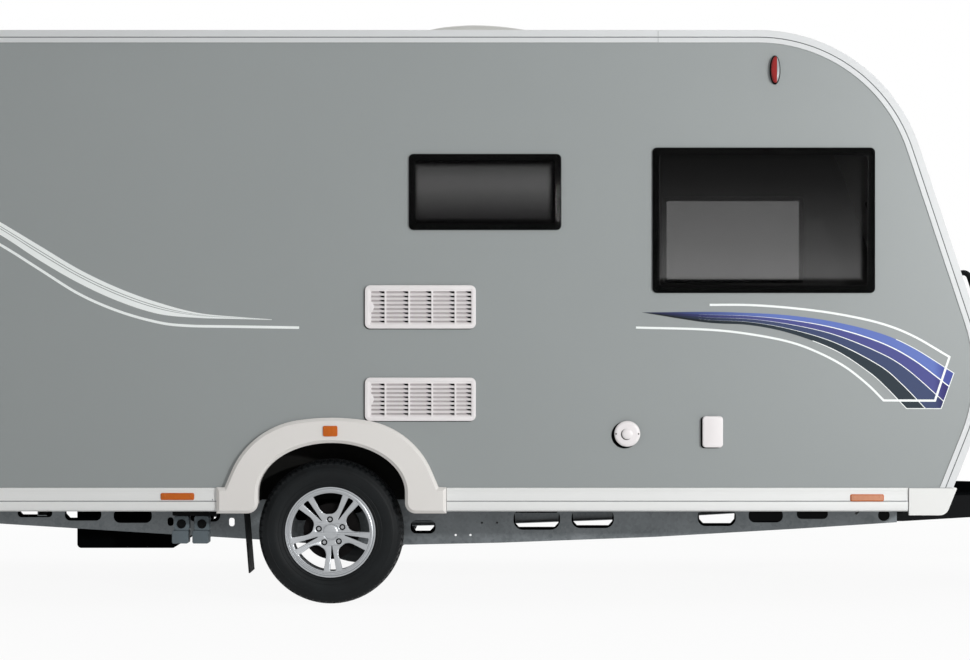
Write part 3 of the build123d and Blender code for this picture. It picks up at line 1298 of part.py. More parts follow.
def jockey_plane(z):
    """Horizontal plane about the mast's axis."""
    return Plane(origin=(AXLE_X + JOCKEY_X, JOCKEY_Y, z), z_dir=(0, 0, 1))


with BuildPart() as jockey_mast:
    extrude(disc(jockey_plane(MAST_LOW), MAST_R), amount=MAST_TOP - MAST_LOW)
    near = JOCKEY_X - CLAMP_HALF
    far = JOCKEY_X + CLAMP_HALF
    clamp = (
        (AXLE_X + near, -(bar_y(near) + bar_reach + SEAT_GAP)),
        (AXLE_X + far, -(bar_y(far) + bar_reach + SEAT_GAP)),
        (AXLE_X + far, JOCKEY_Y), (AXLE_X + near, JOCKEY_Y),
    )
    extrude(polygon(Plane.XY.offset(CLAMP_LOW), clamp), amount=CLAMP_HIGH - CLAMP_LOW)
    bore_long = MAST_TOP - MAST_CAP - MAST_LOW
    extrude(disc(jockey_plane(MAST_LOW), LEG_R + PIN_GAP), amount=bore_long, mode=Mode.SUBTRACT)
    extrude(disc(jockey_plane(MAST_TOP), PIN_R), amount=2 * MAST_CAP)
    crank_z = MAST_TOP + MAST_CAP
    crank = plan_rect(
        crank_z, AXLE_X + JOCKEY_X - CRANK_OUT, AXLE_X + JOCKEY_X + PIN_R,
        JOCKEY_Y - CRANK_T, JOCKEY_Y + CRANK_T,
    )
    extrude(crank, amount=CRANK_T)
    knob = Plane(origin=(AXLE_X + JOCKEY_X - CRANK_OUT + CRANK_T, JOCKEY_Y, crank_z), z_dir=(0, 0, 1))
    extrude(disc(knob, CRANK_T), amount=CRANK_GRIP)
jockey_mast.part.label = "jockey_mast"
export_step(jockey_mast.part, "parts/jockey_mast.step")

with BuildPart() as jockey_leg:
    leg_low = CROWN_LOW + CROWN_T + SEAT_GAP
    extrude(disc(jockey_plane(leg_low), LEG_R), amount=LEG_TOP - leg_low)
jockey_leg.part.label = "jockey_leg"
export_step(jockey_leg.part, "parts/jockey_leg.step")

with BuildPart() as jockey_fork:
    castor_x = AXLE_X + JOCKEY_X - CASTOR_TRAIL
    extrude(disc(jockey_plane(CROWN_LOW), CROWN_R), amount=CROWN_T)
    bridge = plan_rect(
        CROWN_LOW, AXLE_X + JOCKEY_X - FORK_W, AXLE_X + JOCKEY_X,
        JOCKEY_Y - FORK_HALF - FORK_T, JOCKEY_Y + FORK_HALF + FORK_T,
    )
    extrude(bridge, amount=CROWN_T)
    cheek = (
        (AXLE_X + JOCKEY_X - FORK_W, CROWN_LOW + CROWN_T), (AXLE_X + JOCKEY_X, CROWN_LOW + CROWN_T),
        (castor_x + FORK_W / 2, CASTOR_R), (castor_x + FORK_W / 4, CASTOR_R - FORK_W / 2),
        (castor_x - FORK_W / 4, CASTOR_R - FORK_W / 2), (castor_x - FORK_W / 2, CASTOR_R),
    )
    for y in (JOCKEY_Y + FORK_HALF + FORK_T, JOCKEY_Y - FORK_HALF):
        extrude(polygon(side_plane(y), cheek), amount=FORK_T)
    pin_y = JOCKEY_Y + FORK_HALF + FORK_T
    pin = Plane(origin=(castor_x, pin_y, CASTOR_R), x_dir=(1, 0, 0), z_dir=(0, -1, 0))
    extrude(disc(pin, PIN_R), amount=2 * (FORK_HALF + FORK_T))
jockey_fork.part.label = "jockey_fork"
export_step(jockey_fork.part, "parts/jockey_fork.step")

CASTOR_RIM_R = 68.0
CASTOR_RECESS = 12.0
CASTOR_HUB_R = 22.0
with BuildPart() as jockey_wheel:
    face = Plane(origin=(castor_x, JOCKEY_Y + CASTOR_W / 2, CASTOR_R), x_dir=(1, 0, 0), z_dir=(0, -1, 0))
    extrude(disc(face, CASTOR_R), amount=CASTOR_W)
    chamfer(jockey_wheel.edges(), CASTOR_RECESS)
    for plane in (face, face.offset(CASTOR_W - CASTOR_RECESS)):
        with BuildSketch(plane) as recess:
            Circle(CASTOR_RIM_R)
            Circle(CASTOR_HUB_R, mode=Mode.SUBTRACT)
        extrude(recess.sketch, amount=CASTOR_RECESS, mode=Mode.SUBTRACT)
    extrude(disc(face, PIN_R + PIN_GAP), amount=CASTOR_W, mode=Mode.SUBTRACT)
jockey_wheel.part.label = "jockey_wheel"
export_step(jockey_wheel.part, "parts/jockey_wheel.step")

# Waste tank under the floor, drain boxes with their necks, and mud flaps
TANK_BACK = -1266.0
TANK_FRONT = -740.0
TANK_LOW = 212.0
TANK_IN = 80.0  # in from the rails
TANK_HALF = RAIL_Y - TANK_IN
TANK_BEVEL = 60.0
TANK_ROUND = 20.0
with BuildPart() as waste_tank:
    side_view = (
        (AXLE_X + TANK_BACK, RAIL_TOP), (AXLE_X + TANK_BACK, TANK_LOW),
        (AXLE_X + TANK_FRONT - TANK_BEVEL, TANK_LOW), (AXLE_X + TANK_FRONT, TANK_LOW + TANK_BEVEL),
        (AXLE_X + TANK_FRONT, RAIL_TOP),
    )
    extrude(polygon(side_plane(TANK_HALF), side_view), amount=2 * TANK_HALF)
    low_edges = waste_tank.edges().filter_by(Axis.Y).filter_by(lambda e: e.center().Z < RAIL_TOP - TANK_BEVEL)
    fillet(low_edges, TANK_ROUND)
waste_tank.part.label = "waste_tank"
export_step(waste_tank.part, "parts/waste_tank.step")

DRAIN_X = (-711.0, -616.0)
DRAIN_W = 76.0
DRAIN_H = 66.0
DRAIN_LOW = 269.0
DRAIN_IN = 250.0
DRAIN_Y = -(BODY_Y - DRAIN_IN)
NECK_R = 20.0
with BuildPart() as drain_boxes:
    for x in DRAIN_X:
        box = plan_rect(
            DRAIN_LOW, AXLE_X + x - DRAIN_W / 2, AXLE_X + x + DRAIN_W / 2,
            DRAIN_Y - DRAIN_W / 2, DRAIN_Y + DRAIN_W / 2,
        )
        extrude(box, amount=DRAIN_H)
        neck = Plane(origin=(AXLE_X + x, DRAIN_Y, DRAIN_LOW), z_dir=(0, 0, 1))
        extrude(disc(neck, NECK_R), amount=FLOOR_LOW - DRAIN_LOW)
drain_boxes.part.label = "drain_boxes"
export_step(drain_boxes.part, "parts/drain_boxes.step")

FLAP_X = -393.0
FLAP_T = 6.0
FLAP_LOW = 148.0
FLAP_LEAN = 26.0  # forward at the foot
FLAP_W = 192.0
FLAP_IN = 50.0
FLAP_OUT_Y = BODY_Y - FLAP_IN
with BuildPart() as mud_flaps:
    flap = (
        (AXLE_X + FLAP_X, FLOOR_LOW), (AXLE_X + FLAP_X - FLAP_T, FLOOR_LOW),
        (AXLE_X + FLAP_X - FLAP_T + FLAP_LEAN, FLAP_LOW), (AXLE_X + FLAP_X + FLAP_LEAN, FLAP_LOW),
    )
    for side in (-1, 1):
        left_y = max(side * FLAP_OUT_Y, side * (FLAP_OUT_Y - FLAP_W))
        extrude(polygon(side_plane(left_y), flap), amount=FLAP_W)
mud_flaps.part.label = "mud_flaps"
export_step(mud_flaps.part, "parts/mud_flaps.step")

# Corner steadies, stowed: name, pivot station from the axle, side, direction of the leg
STEADIES = (
    ("front_right", 1900.0, -1, 1), ("front_left", 1900.0, 1, 1),
    ("rear_right", -1720.0, -1, -1), ("rear_left", -1720.0, 1, -1),
)
STEADY_IN = 300.0
STEADY_Y = BODY_Y - STEADY_IN
STEADY_Z = 440.0
STEADY_LONG = 600.0
STEADY_HALF = 30.0
STEADY_ROOM = STEADY_HALF + 2 * PIN_GAP  # between the ears of a base
STEADY_T = 4.0
STEADY_BELOW = 20.0
STEADY_ABOVE = 12.0
STEADY_BACK = 14.0
STEADY_CUT = 25.0
SHOE_R = 44.0  # angle at which the shoe stands level
SHOE_IN = 40.0
SHOE_DROP = 27.0
SHOE_HALF = 22.0
SHOE_T = 5.0
STEADY_PIN_R = 6.0
BASE_T = 6.0
BASE_BACK = 30.0
BASE_PAST = 90.0
BASE_HALF = 42.0
EAR_T = 5.0
EAR_HALF = 20.0
SCREW_R = 7.0
SCREW_START = 50.0
BEARING_T = 8.0
BEARING_HALF = 14.0
BEARING_IN = 60.0
BRACE_T = 4.0
BRACE_IN = 22.0
BRACE_HALF = 8.0
EYE_R = 21.0
EYE_BORE = 17.0
EYE_T = 8.0


def steady_plane(pivot, side, way, offset):
    """Side view of a steady about its pivot: local x along the leg, offset across."""
    return Plane(
        origin=(AXLE_X + pivot, side * STEADY_Y - way * offset, STEADY_Z),
        x_dir=(way, 0, 0), z_dir=(0, -way, 0),
    )


def local_rect(plane, x_from, x_to, y_from, y_to):
    """Rectangle in a plane's own coordinates."""
    with BuildSketch(plane) as face:
        with Locations(((x_from + x_to) / 2, (y_from + y_to) / 2)):
            Rectangle(x_to - x_from, y_to - y_from)
    return face.sketch


def steady_base(pivot, side, way):
    """Base plate under the floor, with the pivot ears, the pin and the screw in its bearings."""
    middle = steady_plane(pivot, side, way, 0)
    under = FLOOR_LOW - STEADY_Z
    ear = local_rect(middle, -EAR_HALF, EAR_HALF, -EAR_HALF, under)
    screw = Plane(
        origin=(AXLE_X + pivot + way * SCREW_START, side * STEADY_Y, STEADY_Z),
        z_dir=(way, 0, 0),
    )
    with BuildPart() as base:
        plate = local_rect(middle, -BASE_BACK, STEADY_LONG + BASE_PAST, under - BASE_T, under)
        extrude(plate, amount=BASE_HALF, both=True)
        extrude(ear, amount=STEADY_ROOM + EAR_T, both=True)
        extrude(ear, amount=STEADY_ROOM, both=True, mode=Mode.SUBTRACT)
        cap = local_rect(middle, -EAR_HALF, EAR_HALF, under - BASE_T, under)
        extrude(cap, amount=STEADY_ROOM, both=True)
        extrude(disc(middle, STEADY_PIN_R), amount=STEADY_ROOM + EAR_T, both=True)
        for start in (SCREW_START, STEADY_LONG + BEARING_IN):
            bearing = local_rect(middle, start, start + BEARING_T, -BEARING_HALF, under)
            extrude(bearing, amount=BEARING_HALF, both=True)
        extrude(disc(screw, SCREW_R), amount=STEADY_LONG + BASE_PAST - SCREW_START)
    return base.part


bases = [steady_base(pivot, side, way) for name, pivot, side, way in STEADIES]
with BuildPart() as steady_bases:
    add(bases)
steady_bases.part.label = "steady_bases"
export_step(steady_bases.part, "parts/steady_bases.step")

for name, pivot, side, way in STEADIES:
    middle = steady_plane(pivot, side, way, 0)
    with BuildPart() as steady_leg:
        channel = local_rect(middle, -STEADY_BACK, STEADY_LONG - STEADY_CUT, -STEADY_BELOW, STEADY_ABOVE)
        extrude(channel, amount=STEADY_HALF, both=True)
        inside = local_rect(
            middle, -STEADY_BACK - OVERRUN, STEADY_LONG, STEADY_T - STEADY_BELOW, STEADY_ABOVE + OVERRUN
        )
        extrude(inside, amount=STEADY_HALF - STEADY_T, both=True, mode=Mode.SUBTRACT)
        pin_hole = disc(middle, STEADY_PIN_R + PIN_GAP)
        extrude(pin_hole, amount=STEADY_HALF + OVERRUN, both=True, mode=Mode.SUBTRACT)
        with BuildSketch(middle) as shoe:
            with Locations(Location((STEADY_LONG - SHOE_IN, -SHOE_DROP, 0), (0, 0, SHOE_R))):
                Rectangle(2 * SHOE_HALF, SHOE_T)
        extrude(shoe.sketch, amount=STEADY_HALF + SHOE_T, both=True)
        with BuildSketch(middle) as brace_pin:
            with Locations((STEADY_LONG / 2, 0)):
                Circle(STEADY_PIN_R)
        extrude(brace_pin.sketch, amount=STEADY_HALF, both=True)
        clear = local_rect(
            middle, STEADY_LONG / 2 - 2 * STEADY_PIN_R, STEADY_LONG / 2 + 2 * STEADY_PIN_R,
            -STEADY_BELOW + STEADY_T, STEADY_ABOVE,
        )
        extrude(clear, amount=BRACE_IN - BRACE_T, both=True, mode=Mode.SUBTRACT)
    steady_leg.part.label = f"steady_leg_{name}"
    export_step(steady_leg.part, f"parts/steady_leg_{name}.step")

    with BuildPart() as steady_brace:
        with BuildSketch(middle) as strip:
            with Locations((STEADY_LONG * 3 / 4, 0)):
                SlotCenterToCenter(STEADY_LONG / 2, 2 * BRACE_HALF)
        extrude(strip.sketch, amount=BRACE_IN, both=True)
        inner = local_rect(
            middle, STEADY_LONG / 2 - OVERRUN, STEADY_LONG + OVERRUN,
            -BRACE_HALF - OVERRUN, BRACE_HALF + OVERRUN,
        )
        extrude(inner, amount=BRACE_IN - BRACE_T, both=True, mode=Mode.SUBTRACT)
        with BuildSketch(middle) as eye:
            with Locations((STEADY_LONG / 2, 0)):
                Circle(STEADY_PIN_R + PIN_GAP)
        extrude(eye.sketch, amount=STEADY_HALF, both=True, mode=Mode.SUBTRACT)
        nut = Plane(
            origin=(AXLE_X + pivot + way * (STEADY_LONG - EYE_T / 2), side * STEADY_Y, STEADY_Z),
            z_dir=(way, 0, 0),
        )
        extrude(disc(nut, EYE_R), amount=EYE_T)
        extrude(disc(nut, EYE_BORE), amount=EYE_T, mode=Mode.SUBTRACT)
    steady_brace.part.label = f"steady_brace_{name}"
    export_step(steady_brace.part, f"parts/steady_brace_{name}.step")
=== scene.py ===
# %% [markdown]
# A single-axle travel caravan, dressed for its picture.
# The solids of the caravan come in as a fixed frame. This lesson gives each of them a finish, then adds
# what is too fine for a solid: tread, spokes with soft edges, louvres, stripes, lenses, screws.
# Sizes are millimetres in the tables below, because that is how a caravan maker writes them, and one
# factor turns them into Blender's metres.

# %% Load the frame
from math import atan2, cos, pi, radians, sin, sqrt

import bmesh
import bpy
from mathutils import Matrix, Vector


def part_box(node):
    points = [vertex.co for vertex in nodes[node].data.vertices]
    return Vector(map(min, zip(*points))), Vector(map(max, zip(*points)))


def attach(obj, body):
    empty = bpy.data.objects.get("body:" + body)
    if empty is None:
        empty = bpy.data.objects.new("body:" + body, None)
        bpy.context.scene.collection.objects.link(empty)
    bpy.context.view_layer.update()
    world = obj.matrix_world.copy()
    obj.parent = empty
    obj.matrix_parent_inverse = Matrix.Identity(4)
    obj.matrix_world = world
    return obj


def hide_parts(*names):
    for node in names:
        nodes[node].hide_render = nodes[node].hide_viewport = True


MM = 0.001
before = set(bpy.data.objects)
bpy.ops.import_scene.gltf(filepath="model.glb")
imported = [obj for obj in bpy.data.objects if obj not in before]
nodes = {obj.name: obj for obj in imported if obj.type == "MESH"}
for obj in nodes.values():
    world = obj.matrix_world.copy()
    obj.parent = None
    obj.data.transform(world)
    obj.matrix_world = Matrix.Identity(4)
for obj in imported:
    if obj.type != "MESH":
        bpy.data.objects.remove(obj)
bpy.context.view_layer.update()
scene = bpy.context.scene

# %% [markdown]
# The picture is a straight side view taken from about eleven metres, at chest height. A long lens keeps the
# side flat and true. The lens and the shift follow from the wheel's size and place in the picture.

# %% Camera
CAMERA_PLACE = (0.003, -12.15, 1.2388)
LENS = 89.5
SHIFT = (-0.0412, 0.0052)
camera_data = bpy.data.cameras.new("side_camera")
camera_data.lens = LENS
camera_data.sensor_width = 36.0
camera_data.shift_x, camera_data.shift_y = SHIFT
camera = bpy.data.objects.new("side_camera", camera_data)
camera.location = CAMERA_PLACE
camera.rotation_euler = (radians(90), 0, 0)
scene.collection.objects.link(camera)
scene.camera = camera
scene.view_settings.view_transform = "Standard"
print("camera at", CAMERA_PLACE, "with a lens of", LENS, "mm")

# %% [markdown]
# Colours are written as hex codes, as they would be read off a screen, and one function turns them into the
# linear values that Blender computes with. One function adds every node: it takes the node's kind, its
# settings, and its inputs, where an input may be a value or another node's output. Four short ones serve the
# nodes that come up most: sums, limits, mixed colours and the place on the object.

# %% Colour and node helpers


def linear(code, alpha=1.0):
    """Linear RGBA of a hex colour such as "8f9491"."""
    channels = (int(code[place:place + 2], 16) / 255 for place in (0, 2, 4))
    return tuple(c / 12.92 if c <= 0.04045 else ((c + 0.055) / 1.055) ** 2.4 for c in channels) + (alpha,)


def add(tree, kind, settings=None, inputs=None):
    """Adds a node to a tree, with its settings and its inputs."""
    node = tree.nodes.new(kind)
    for name, value in (settings or {}).items():
        setattr(node, name, value)
    for key, value in (inputs or {}).items():
        if isinstance(value, bpy.types.NodeSocket):
            tree.links.new(value, node.inputs[key])
        else:
            node.inputs[key].default_value = value
    return node


def math_node(tree, operation, *values):
    """Output of a Math node."""
    return add(tree, "ShaderNodeMath", {"operation": operation}, dict(enumerate(values))).outputs[0]


def mapped(tree, value, limits, smooth=False):
    """Output of a Map Range node. Limits that are not named stay 0 and 1."""
    settings = {"interpolation_type": "SMOOTHSTEP"} if smooth else None
    return add(tree, "ShaderNodeMapRange", settings, {"Value": value, **limits}).outputs[0]


def blended(tree, share, low, high):
    """Colour between two, each a hex code or another node's output."""
    low, high = (linear(end) if isinstance(end, str) else end for end in (low, high))
    return add(tree, "ShaderNodeMix", {"data_type": "RGBA"}, {0: share, 6: low, 7: high}).outputs[2]


def object_place(tree, axis=None):
    """Place on the object in metres, or one of its three coordinates."""
    place = add(tree, "ShaderNodeTexCoord").outputs["Object"]
    return add(tree, "ShaderNodeSeparateXYZ", None, {0: place}).outputs[axis] if axis else place


print("hex 8e9393 in linear values:", [round(channel, 3) for channel in linear("8e9393")])

# %% [markdown]
# The stage is a studio with a white sweep. The floor is an ordinary pale surface near the caravan, so it
# takes its shadow, and fades to plain white further out. The world is plain white where the camera, a
# mirror or a window looks at it, and softer where it only lights the object.

# %% Floor and world
FLOOR_RADIUS = 70.0
FADE_FROM = 3.0
FADE_TO = 9.0
FLOOR_GLOW = 0.93  # share of plain white in the floor under the caravan, which lightens its shadow
WORLD_LIGHT = 0.42


def when_seen(tree):
    """1 where the camera, a mirror or a window looks, and 0 for light that only falls on things."""
    ray = add(tree, "ShaderNodeLightPath").outputs
    seen = math_node(tree, "MAXIMUM", ray["Is Camera Ray"], ray["Is Glossy Ray"])
    return math_node(tree, "MAXIMUM", seen, ray["Is Transmission Ray"])


floor_mesh = bpy.data.meshes.new("studio_floor")
floor_shape = bmesh.new()
bmesh.ops.create_circle(floor_shape, cap_ends=True, segments=96, radius=FLOOR_RADIUS)
floor_shape.to_mesh(floor_mesh)
floor_shape.free()
floor = bpy.data.objects.new("studio_floor", floor_mesh)
scene.collection.objects.link(floor)

sweep = bpy.data.materials.new("studio_sweep")
sweep.use_nodes = True
tree = sweep.node_tree
tree.nodes.clear()
distance = add(tree, "ShaderNodeVectorMath", {"operation": "LENGTH"}, {0: object_place(tree)})
fade = mapped(tree, distance.outputs["Value"], {
    "From Min": FADE_FROM, "From Max": FADE_TO, "To Min": FLOOR_GLOW,
}, smooth=True)
white_share = math_node(tree, "MULTIPLY", fade, when_seen(tree))
paint = add(tree, "ShaderNodeBsdfDiffuse", None, {"Color": linear("f4f4f3")}).outputs[0]
glow = add(tree, "ShaderNodeEmission", None, {"Color": (1, 1, 1, 1), "Strength": 1.0}).outputs[0]
mixed = add(tree, "ShaderNodeMixShader", None, {0: white_share, 1: paint, 2: glow}).outputs[0]
add(tree, "ShaderNodeOutputMaterial", None, {"Surface": mixed})
floor_mesh.materials.append(sweep)

world = bpy.data.worlds.new("studio_world")
scene.world = world
world.use_nodes = True
tree = world.node_tree
tree.nodes.clear()
strength = mapped(tree, when_seen(tree), {"To Min": WORLD_LIGHT})
sky = add(tree, "ShaderNodeBackground", None, {"Color": (1, 1, 1, 1), "Strength": strength}).outputs[0]
add(tree, "ShaderNodeOutputWorld", None, {"Surface": sky})
print("stage:", floor.name, "and", world.name)

# %% [markdown]
# In the picture the fittings throw short, hard shadows to the left and down, so the main lamp is small and
# stands to the right of the camera and a little above it. It is near enough that the side is lighter at
# its front. A tall lamp far out to the right stands nearly in the wall's plane: it hardly lights the wall,
# but it draws the bright lines on the windows' right slopes.

# %% Lamps
# Each lamp: name, place, where it aims, width and height in metres, watts
LAMPS = (
    ("key_lamp", (6.0, -10.0, 2.9), (0.6, -1.1, 1.2), (0.4, 0.4), 590.0),
    ("low_lamp", (6.0, -7.0, 0.9), (1.2, -1.1, 0.9), (1.2, 1.2), 60.0),
    ("strip_lamp", (11.0, -1.7, 1.8), (1.0, -1.2, 1.8), (1.4, 1.6), 120.0),
    ("roof_lamp", (-1.0, 3.0, 9.0), (0.0, 0.0, 1.5), (5.0, 5.0), 160.0),
    ("rear_lamp", (-9.5, 6.0, 4.0), (-1.0, 0.0, 1.3), (3.0, 3.0), 170.0),
)
for name, spot, aim, size, watts in LAMPS:
    lamp_data = bpy.data.lights.new(name, "AREA")
    lamp_data.shape = "RECTANGLE"
    lamp_data.size, lamp_data.size_y = size
    lamp_data.energy = watts
    lamp = bpy.data.objects.new(name, lamp_data)
    lamp.location = spot
    lamp.visible_camera = False
    lamp.rotation_euler = (Vector(aim) - Vector(spot)).to_track_quat("-Z", "Y").to_euler()
    scene.collection.objects.link(lamp)
print("lamps:", [lamp[0] for lamp in LAMPS])

# %% [markdown]
# Each finish is a Principled shader with the typical values of its material. Two small recipes serve many
# of them. Mottling mixes two near colours in soft patches. Grain raises a fine bump whose size and depth
# are real sizes: the orange peel of a gel coat is about 4 mm across and a few hundredths deep.

# %% Finish recipes


def finish(name, code, roughness, more=None):
    """New material with a Principled shader. Returns the material, its tree and the shader."""
    material = bpy.data.materials.new(name)
    material.use_nodes = True
    shader = material.node_tree.nodes["Principled BSDF"]
    shader.inputs["Base Color"].default_value = linear(code)
    shader.inputs["Roughness"].default_value = roughness
    for socket, value in (more or {}).items():
        shader.inputs[socket].default_value = value
    return material, material.node_tree, shader


def noise(tree, size_mm, detail=2.0):
    """Noise whose patches are about size_mm across, from 0 to 1."""
    inputs = {"Vector": object_place(tree), "Scale": 1 / (size_mm * MM), "Detail": detail}
    return add(tree, "ShaderNodeTexNoise", None, inputs).outputs["Fac"]


def mottle(tree, shader, code_a, code_b, size_mm, detail=3.0):
    """Soft patches of two near colours."""
    patches = blended(tree, noise(tree, size_mm, detail), code_a, code_b)
    tree.links.new(patches, shader.inputs["Base Color"])


def polish(tree, shader, low, high, size_mm):
    """Roughness that wanders between two values, as a wiped surface has."""
    wander = mapped(tree, noise(tree, size_mm), {"To Min": low, "To Max": high})
    tree.links.new(wander, shader.inputs["Roughness"])


def grain(tree, shader, size_mm, depth_mm, detail=2.0):
    """Fine bump of a real size and depth."""
    inputs = {"Height": noise(tree, size_mm, detail), "Distance": depth_mm * MM}
    bump = add(tree, "ShaderNodeBump", None, inputs)
    tree.links.new(bump.outputs[0], shader.inputs["Normal"])
    return bump


print("recipes:", [recipe.__name__ for recipe in (finish, noise, mottle, polish, grain)])

# %% [markdown]
# A second colour can go on the parts of a solid that lie within a band of distances from the caravan's
# middle plane: the lining inside a wall, or the floor of a groove in a trim. With it, most finishes are one
# call: a colour and a roughness, two colours for the mottling, and a grain.

# %% Band and coat recipes


def band_colour(tree, shader, code, near_mm, far_mm):
    """Lays a second colour where the distance from the middle plane lies between two values."""
    away = math_node(tree, "ABSOLUTE", object_place(tree, "Y"))
    past = math_node(tree, "GREATER_THAN", away, near_mm * MM)
    within = math_node(tree, "LESS_THAN", away, far_mm * MM)
    under = shader.inputs["Base Color"].links[0].from_socket
    laid = blended(tree, math_node(tree, "MULTIPLY", past, within), under, code)
    tree.links.new(laid, shader.inputs["Base Color"])


def coat(name, code, roughness, patches, texture=None, more=None, band=None):
    """Finish with mottling, and where they are given with grain and a band of a second colour."""
    material, tree, shader = finish(name, code, roughness, more)
    mottle(tree, shader, *patches)
    if texture:
        grain(tree, shader, *texture)
    if band:
        band_colour(tree, shader, *band)
    return material


print("recipes:", [recipe.__name__ for recipe in (band_colour, coat)])

# %% [markdown]
# The side walls are thin sheet with a smooth grey coat, bonded to foam. The coat is semi-gloss, and such a
# wide sheet is never quite flat, so a slow shallow wave goes under the fine orange peel. The lining on the
# inside is a dark fabric.

# %% Panel finishes
WALL_WAVE = 520.0
WALL_WAVE_DEPTH = 0.4
PEEL = 4.0
PEEL_DEPTH = 0.02
WALL_Y = 1150.0  # distance of the side wall's face from the caravan's middle
SHEET_T = 2.0
grey_coat, tree, shader = finish("grey_gel_coat", "8e9393", 0.36)
mottle(tree, shader, "8c9191", "909595", 900.0)
band_colour(tree, shader, "232220", 0, WALL_Y - SHEET_T)
wave = grain(tree, shader, WALL_WAVE, WALL_WAVE_DEPTH, 0.0).outputs[0]
peel = add(tree, "ShaderNodeBump", None, {
    "Height": noise(tree, PEEL), "Distance": PEEL_DEPTH * MM, "Normal": wave,
}).outputs[0]
tree.links.new(peel, shader.inputs["Normal"])
GEL_GLOSS = {"Coat Weight": 0.2, "Coat Roughness": 0.1}
white_coat = coat("white_gel_coat", "dcdcda", 0.32, ("dadad8", "dedfdd", 700.0), (5.0, 0.03), GEL_GLOSS)
print("panel finishes:", grey_coat.name, white_coat.name)

# %% [markdown]
# The rails along the edges, the skirts and the door frame are aluminium extrusions with a white powder
# coat. Powder flows less than paint, so its orange peel is finer and deeper, and its gloss is lower.
# A grey filler strip runs in the groove of the edge rails, and a grey band along the groove of the skirts is
# painted shade.

# %% Trim finishes
GROOVE_FLOOR = (1151.6, 1153.4)  # distance of the groove's floor from the caravan's middle
SKIRT_GROOVE = (1156.4, 1157.4)
MILD_GLARE = {"Specular IOR Level": 0.3}
powder_white = coat(
    "white_powder_coat", "cfd1d2", 0.38, ("cdcfd0", "d1d3d4", 400.0), (2.5, 0.03), MILD_GLARE,
    ("4c5154", *GROOVE_FLOOR),
)
# The grey band on the floor of the skirt's groove is painted shade.
skirt_white = coat(
    "white_powder_coated_skirt", "e1e2e1", 0.38, ("dfe0df", "e3e4e3", 400.0), (2.5, 0.03), None,
    ("7c7f82", *SKIRT_GROOVE),
)
arch_white = coat("white_thermoformed_plastic", "dddad7", 0.42, ("dbd8d4", "dfdcd9", 300.0), (1.6, 0.03))
print("trim finishes:", powder_white.name, skirt_white.name, arch_white.name)

# %% [markdown]
# Moulded plastics: a satin black for boxes, tanks and grips, a glossy black for the window frames, and a
# white that has gone faintly warm for vents and caps. A white studio mirrors in everything black, so the
# blacks get a low specular level, or they would turn grey.

# %% Plastic finishes
LOW_GLARE = {"Specular IOR Level": 0.06}
SOME_GLARE = {"Specular IOR Level": 0.2}
NO_GLARE = {"Specular IOR Level": 0.0}
satin_black = coat(
    "black_moulded_plastic", "0c0d0e", 0.5, ("0a0b0c", "101112", 60.0), (1.2, 0.05), LOW_GLARE,
)
gloss_black, tree, shader = finish("black_glossy_frame", "030404", 0.1, LOW_GLARE)
polish(tree, shader, 0.07, 0.14, 40.0)
white_abs = coat("white_moulded_abs", "e4e0e1", 0.36, ("e2dede", "e6e2e3", 120.0), (0.8, 0.015))
grey_abs = coat("grey_moulded_abs", "5f6a70", 0.5, ("5a656b", "656f75", 50.0), (1.0, 0.03), MILD_GLARE)
# The grey of the vent lining is partly painted shade of the gaps between the blades.
vent_lining_shade_grey = coat("grey_vent_lining_painted_shade", "b4aeaf", 0.5, ("b0aaab", "b8b2b3", 60.0), None, SOME_GLARE)
dull_black = coat("dull_black_plastic", "08090a", 0.85, ("060708", "0b0c0d", 80.0), None, NO_GLARE)
well_black = coat("dusty_black_wheel_box", "1f1f1e", 0.85, ("191918", "252524", 60.0), None, LOW_GLARE)
roof_white = coat("weathered_white_abs", "c9c9c5", 0.45, ("c5c5c1", "cdcdca", 150.0), (1.2, 0.02))
print("materials so far:", len(bpy.data.materials))

# %% [markdown]
# The panes are dark acrylic, blown to a low dome, with a black print along the border that hides the glue.
# A little of what lies behind shows through, so the finish is partly clear. On the right panes a painted
# reflection shades the acrylic by height: the large pane is darkest at its top, the small one at its bottom.

# %% Acrylic
PANE_COVER = 0.47  # each face of a pane hides this share of what lies behind it
PRINT_SOFT = 26.0  # width over which the black print of the border fades out
PRINT_REACH = 60.0  # how far past the clear field the border may reach
# Clear fields of the two right panes: middle and half size along the caravan, the same in height, then the
# shade of the painted reflection at some heights, from below
PAINTED_REFLECTION_FIELDS = (
    (1074.6, 469.7, 1772.4, 289.6, (
        (1482.8, "5e5e5e"), (1560.0, "575757"), (1650.0, "464646"), (1786.0, "323232"), (1930.0, "1c1c1c"),
        (2061.9, "0e0e0e"),
    )),
    (-186.7, 316.5, 1888.6, 134.5, (
        (1754.1, "242424"), (1800.0, "393939"), (1850.0, "505050"), (1910.0, "646464"), (1950.0, "636363"),
        (2023.1, "444444"),
    )),
)


def depth_in_span(tree, coordinate, middle, half):
    """How far a place lies inside a span that has a middle and a half length."""
    from_middle = math_node(tree, "SUBTRACT", coordinate, middle * MM)
    return math_node(tree, "SUBTRACT", half * MM, math_node(tree, "ABSOLUTE", from_middle))


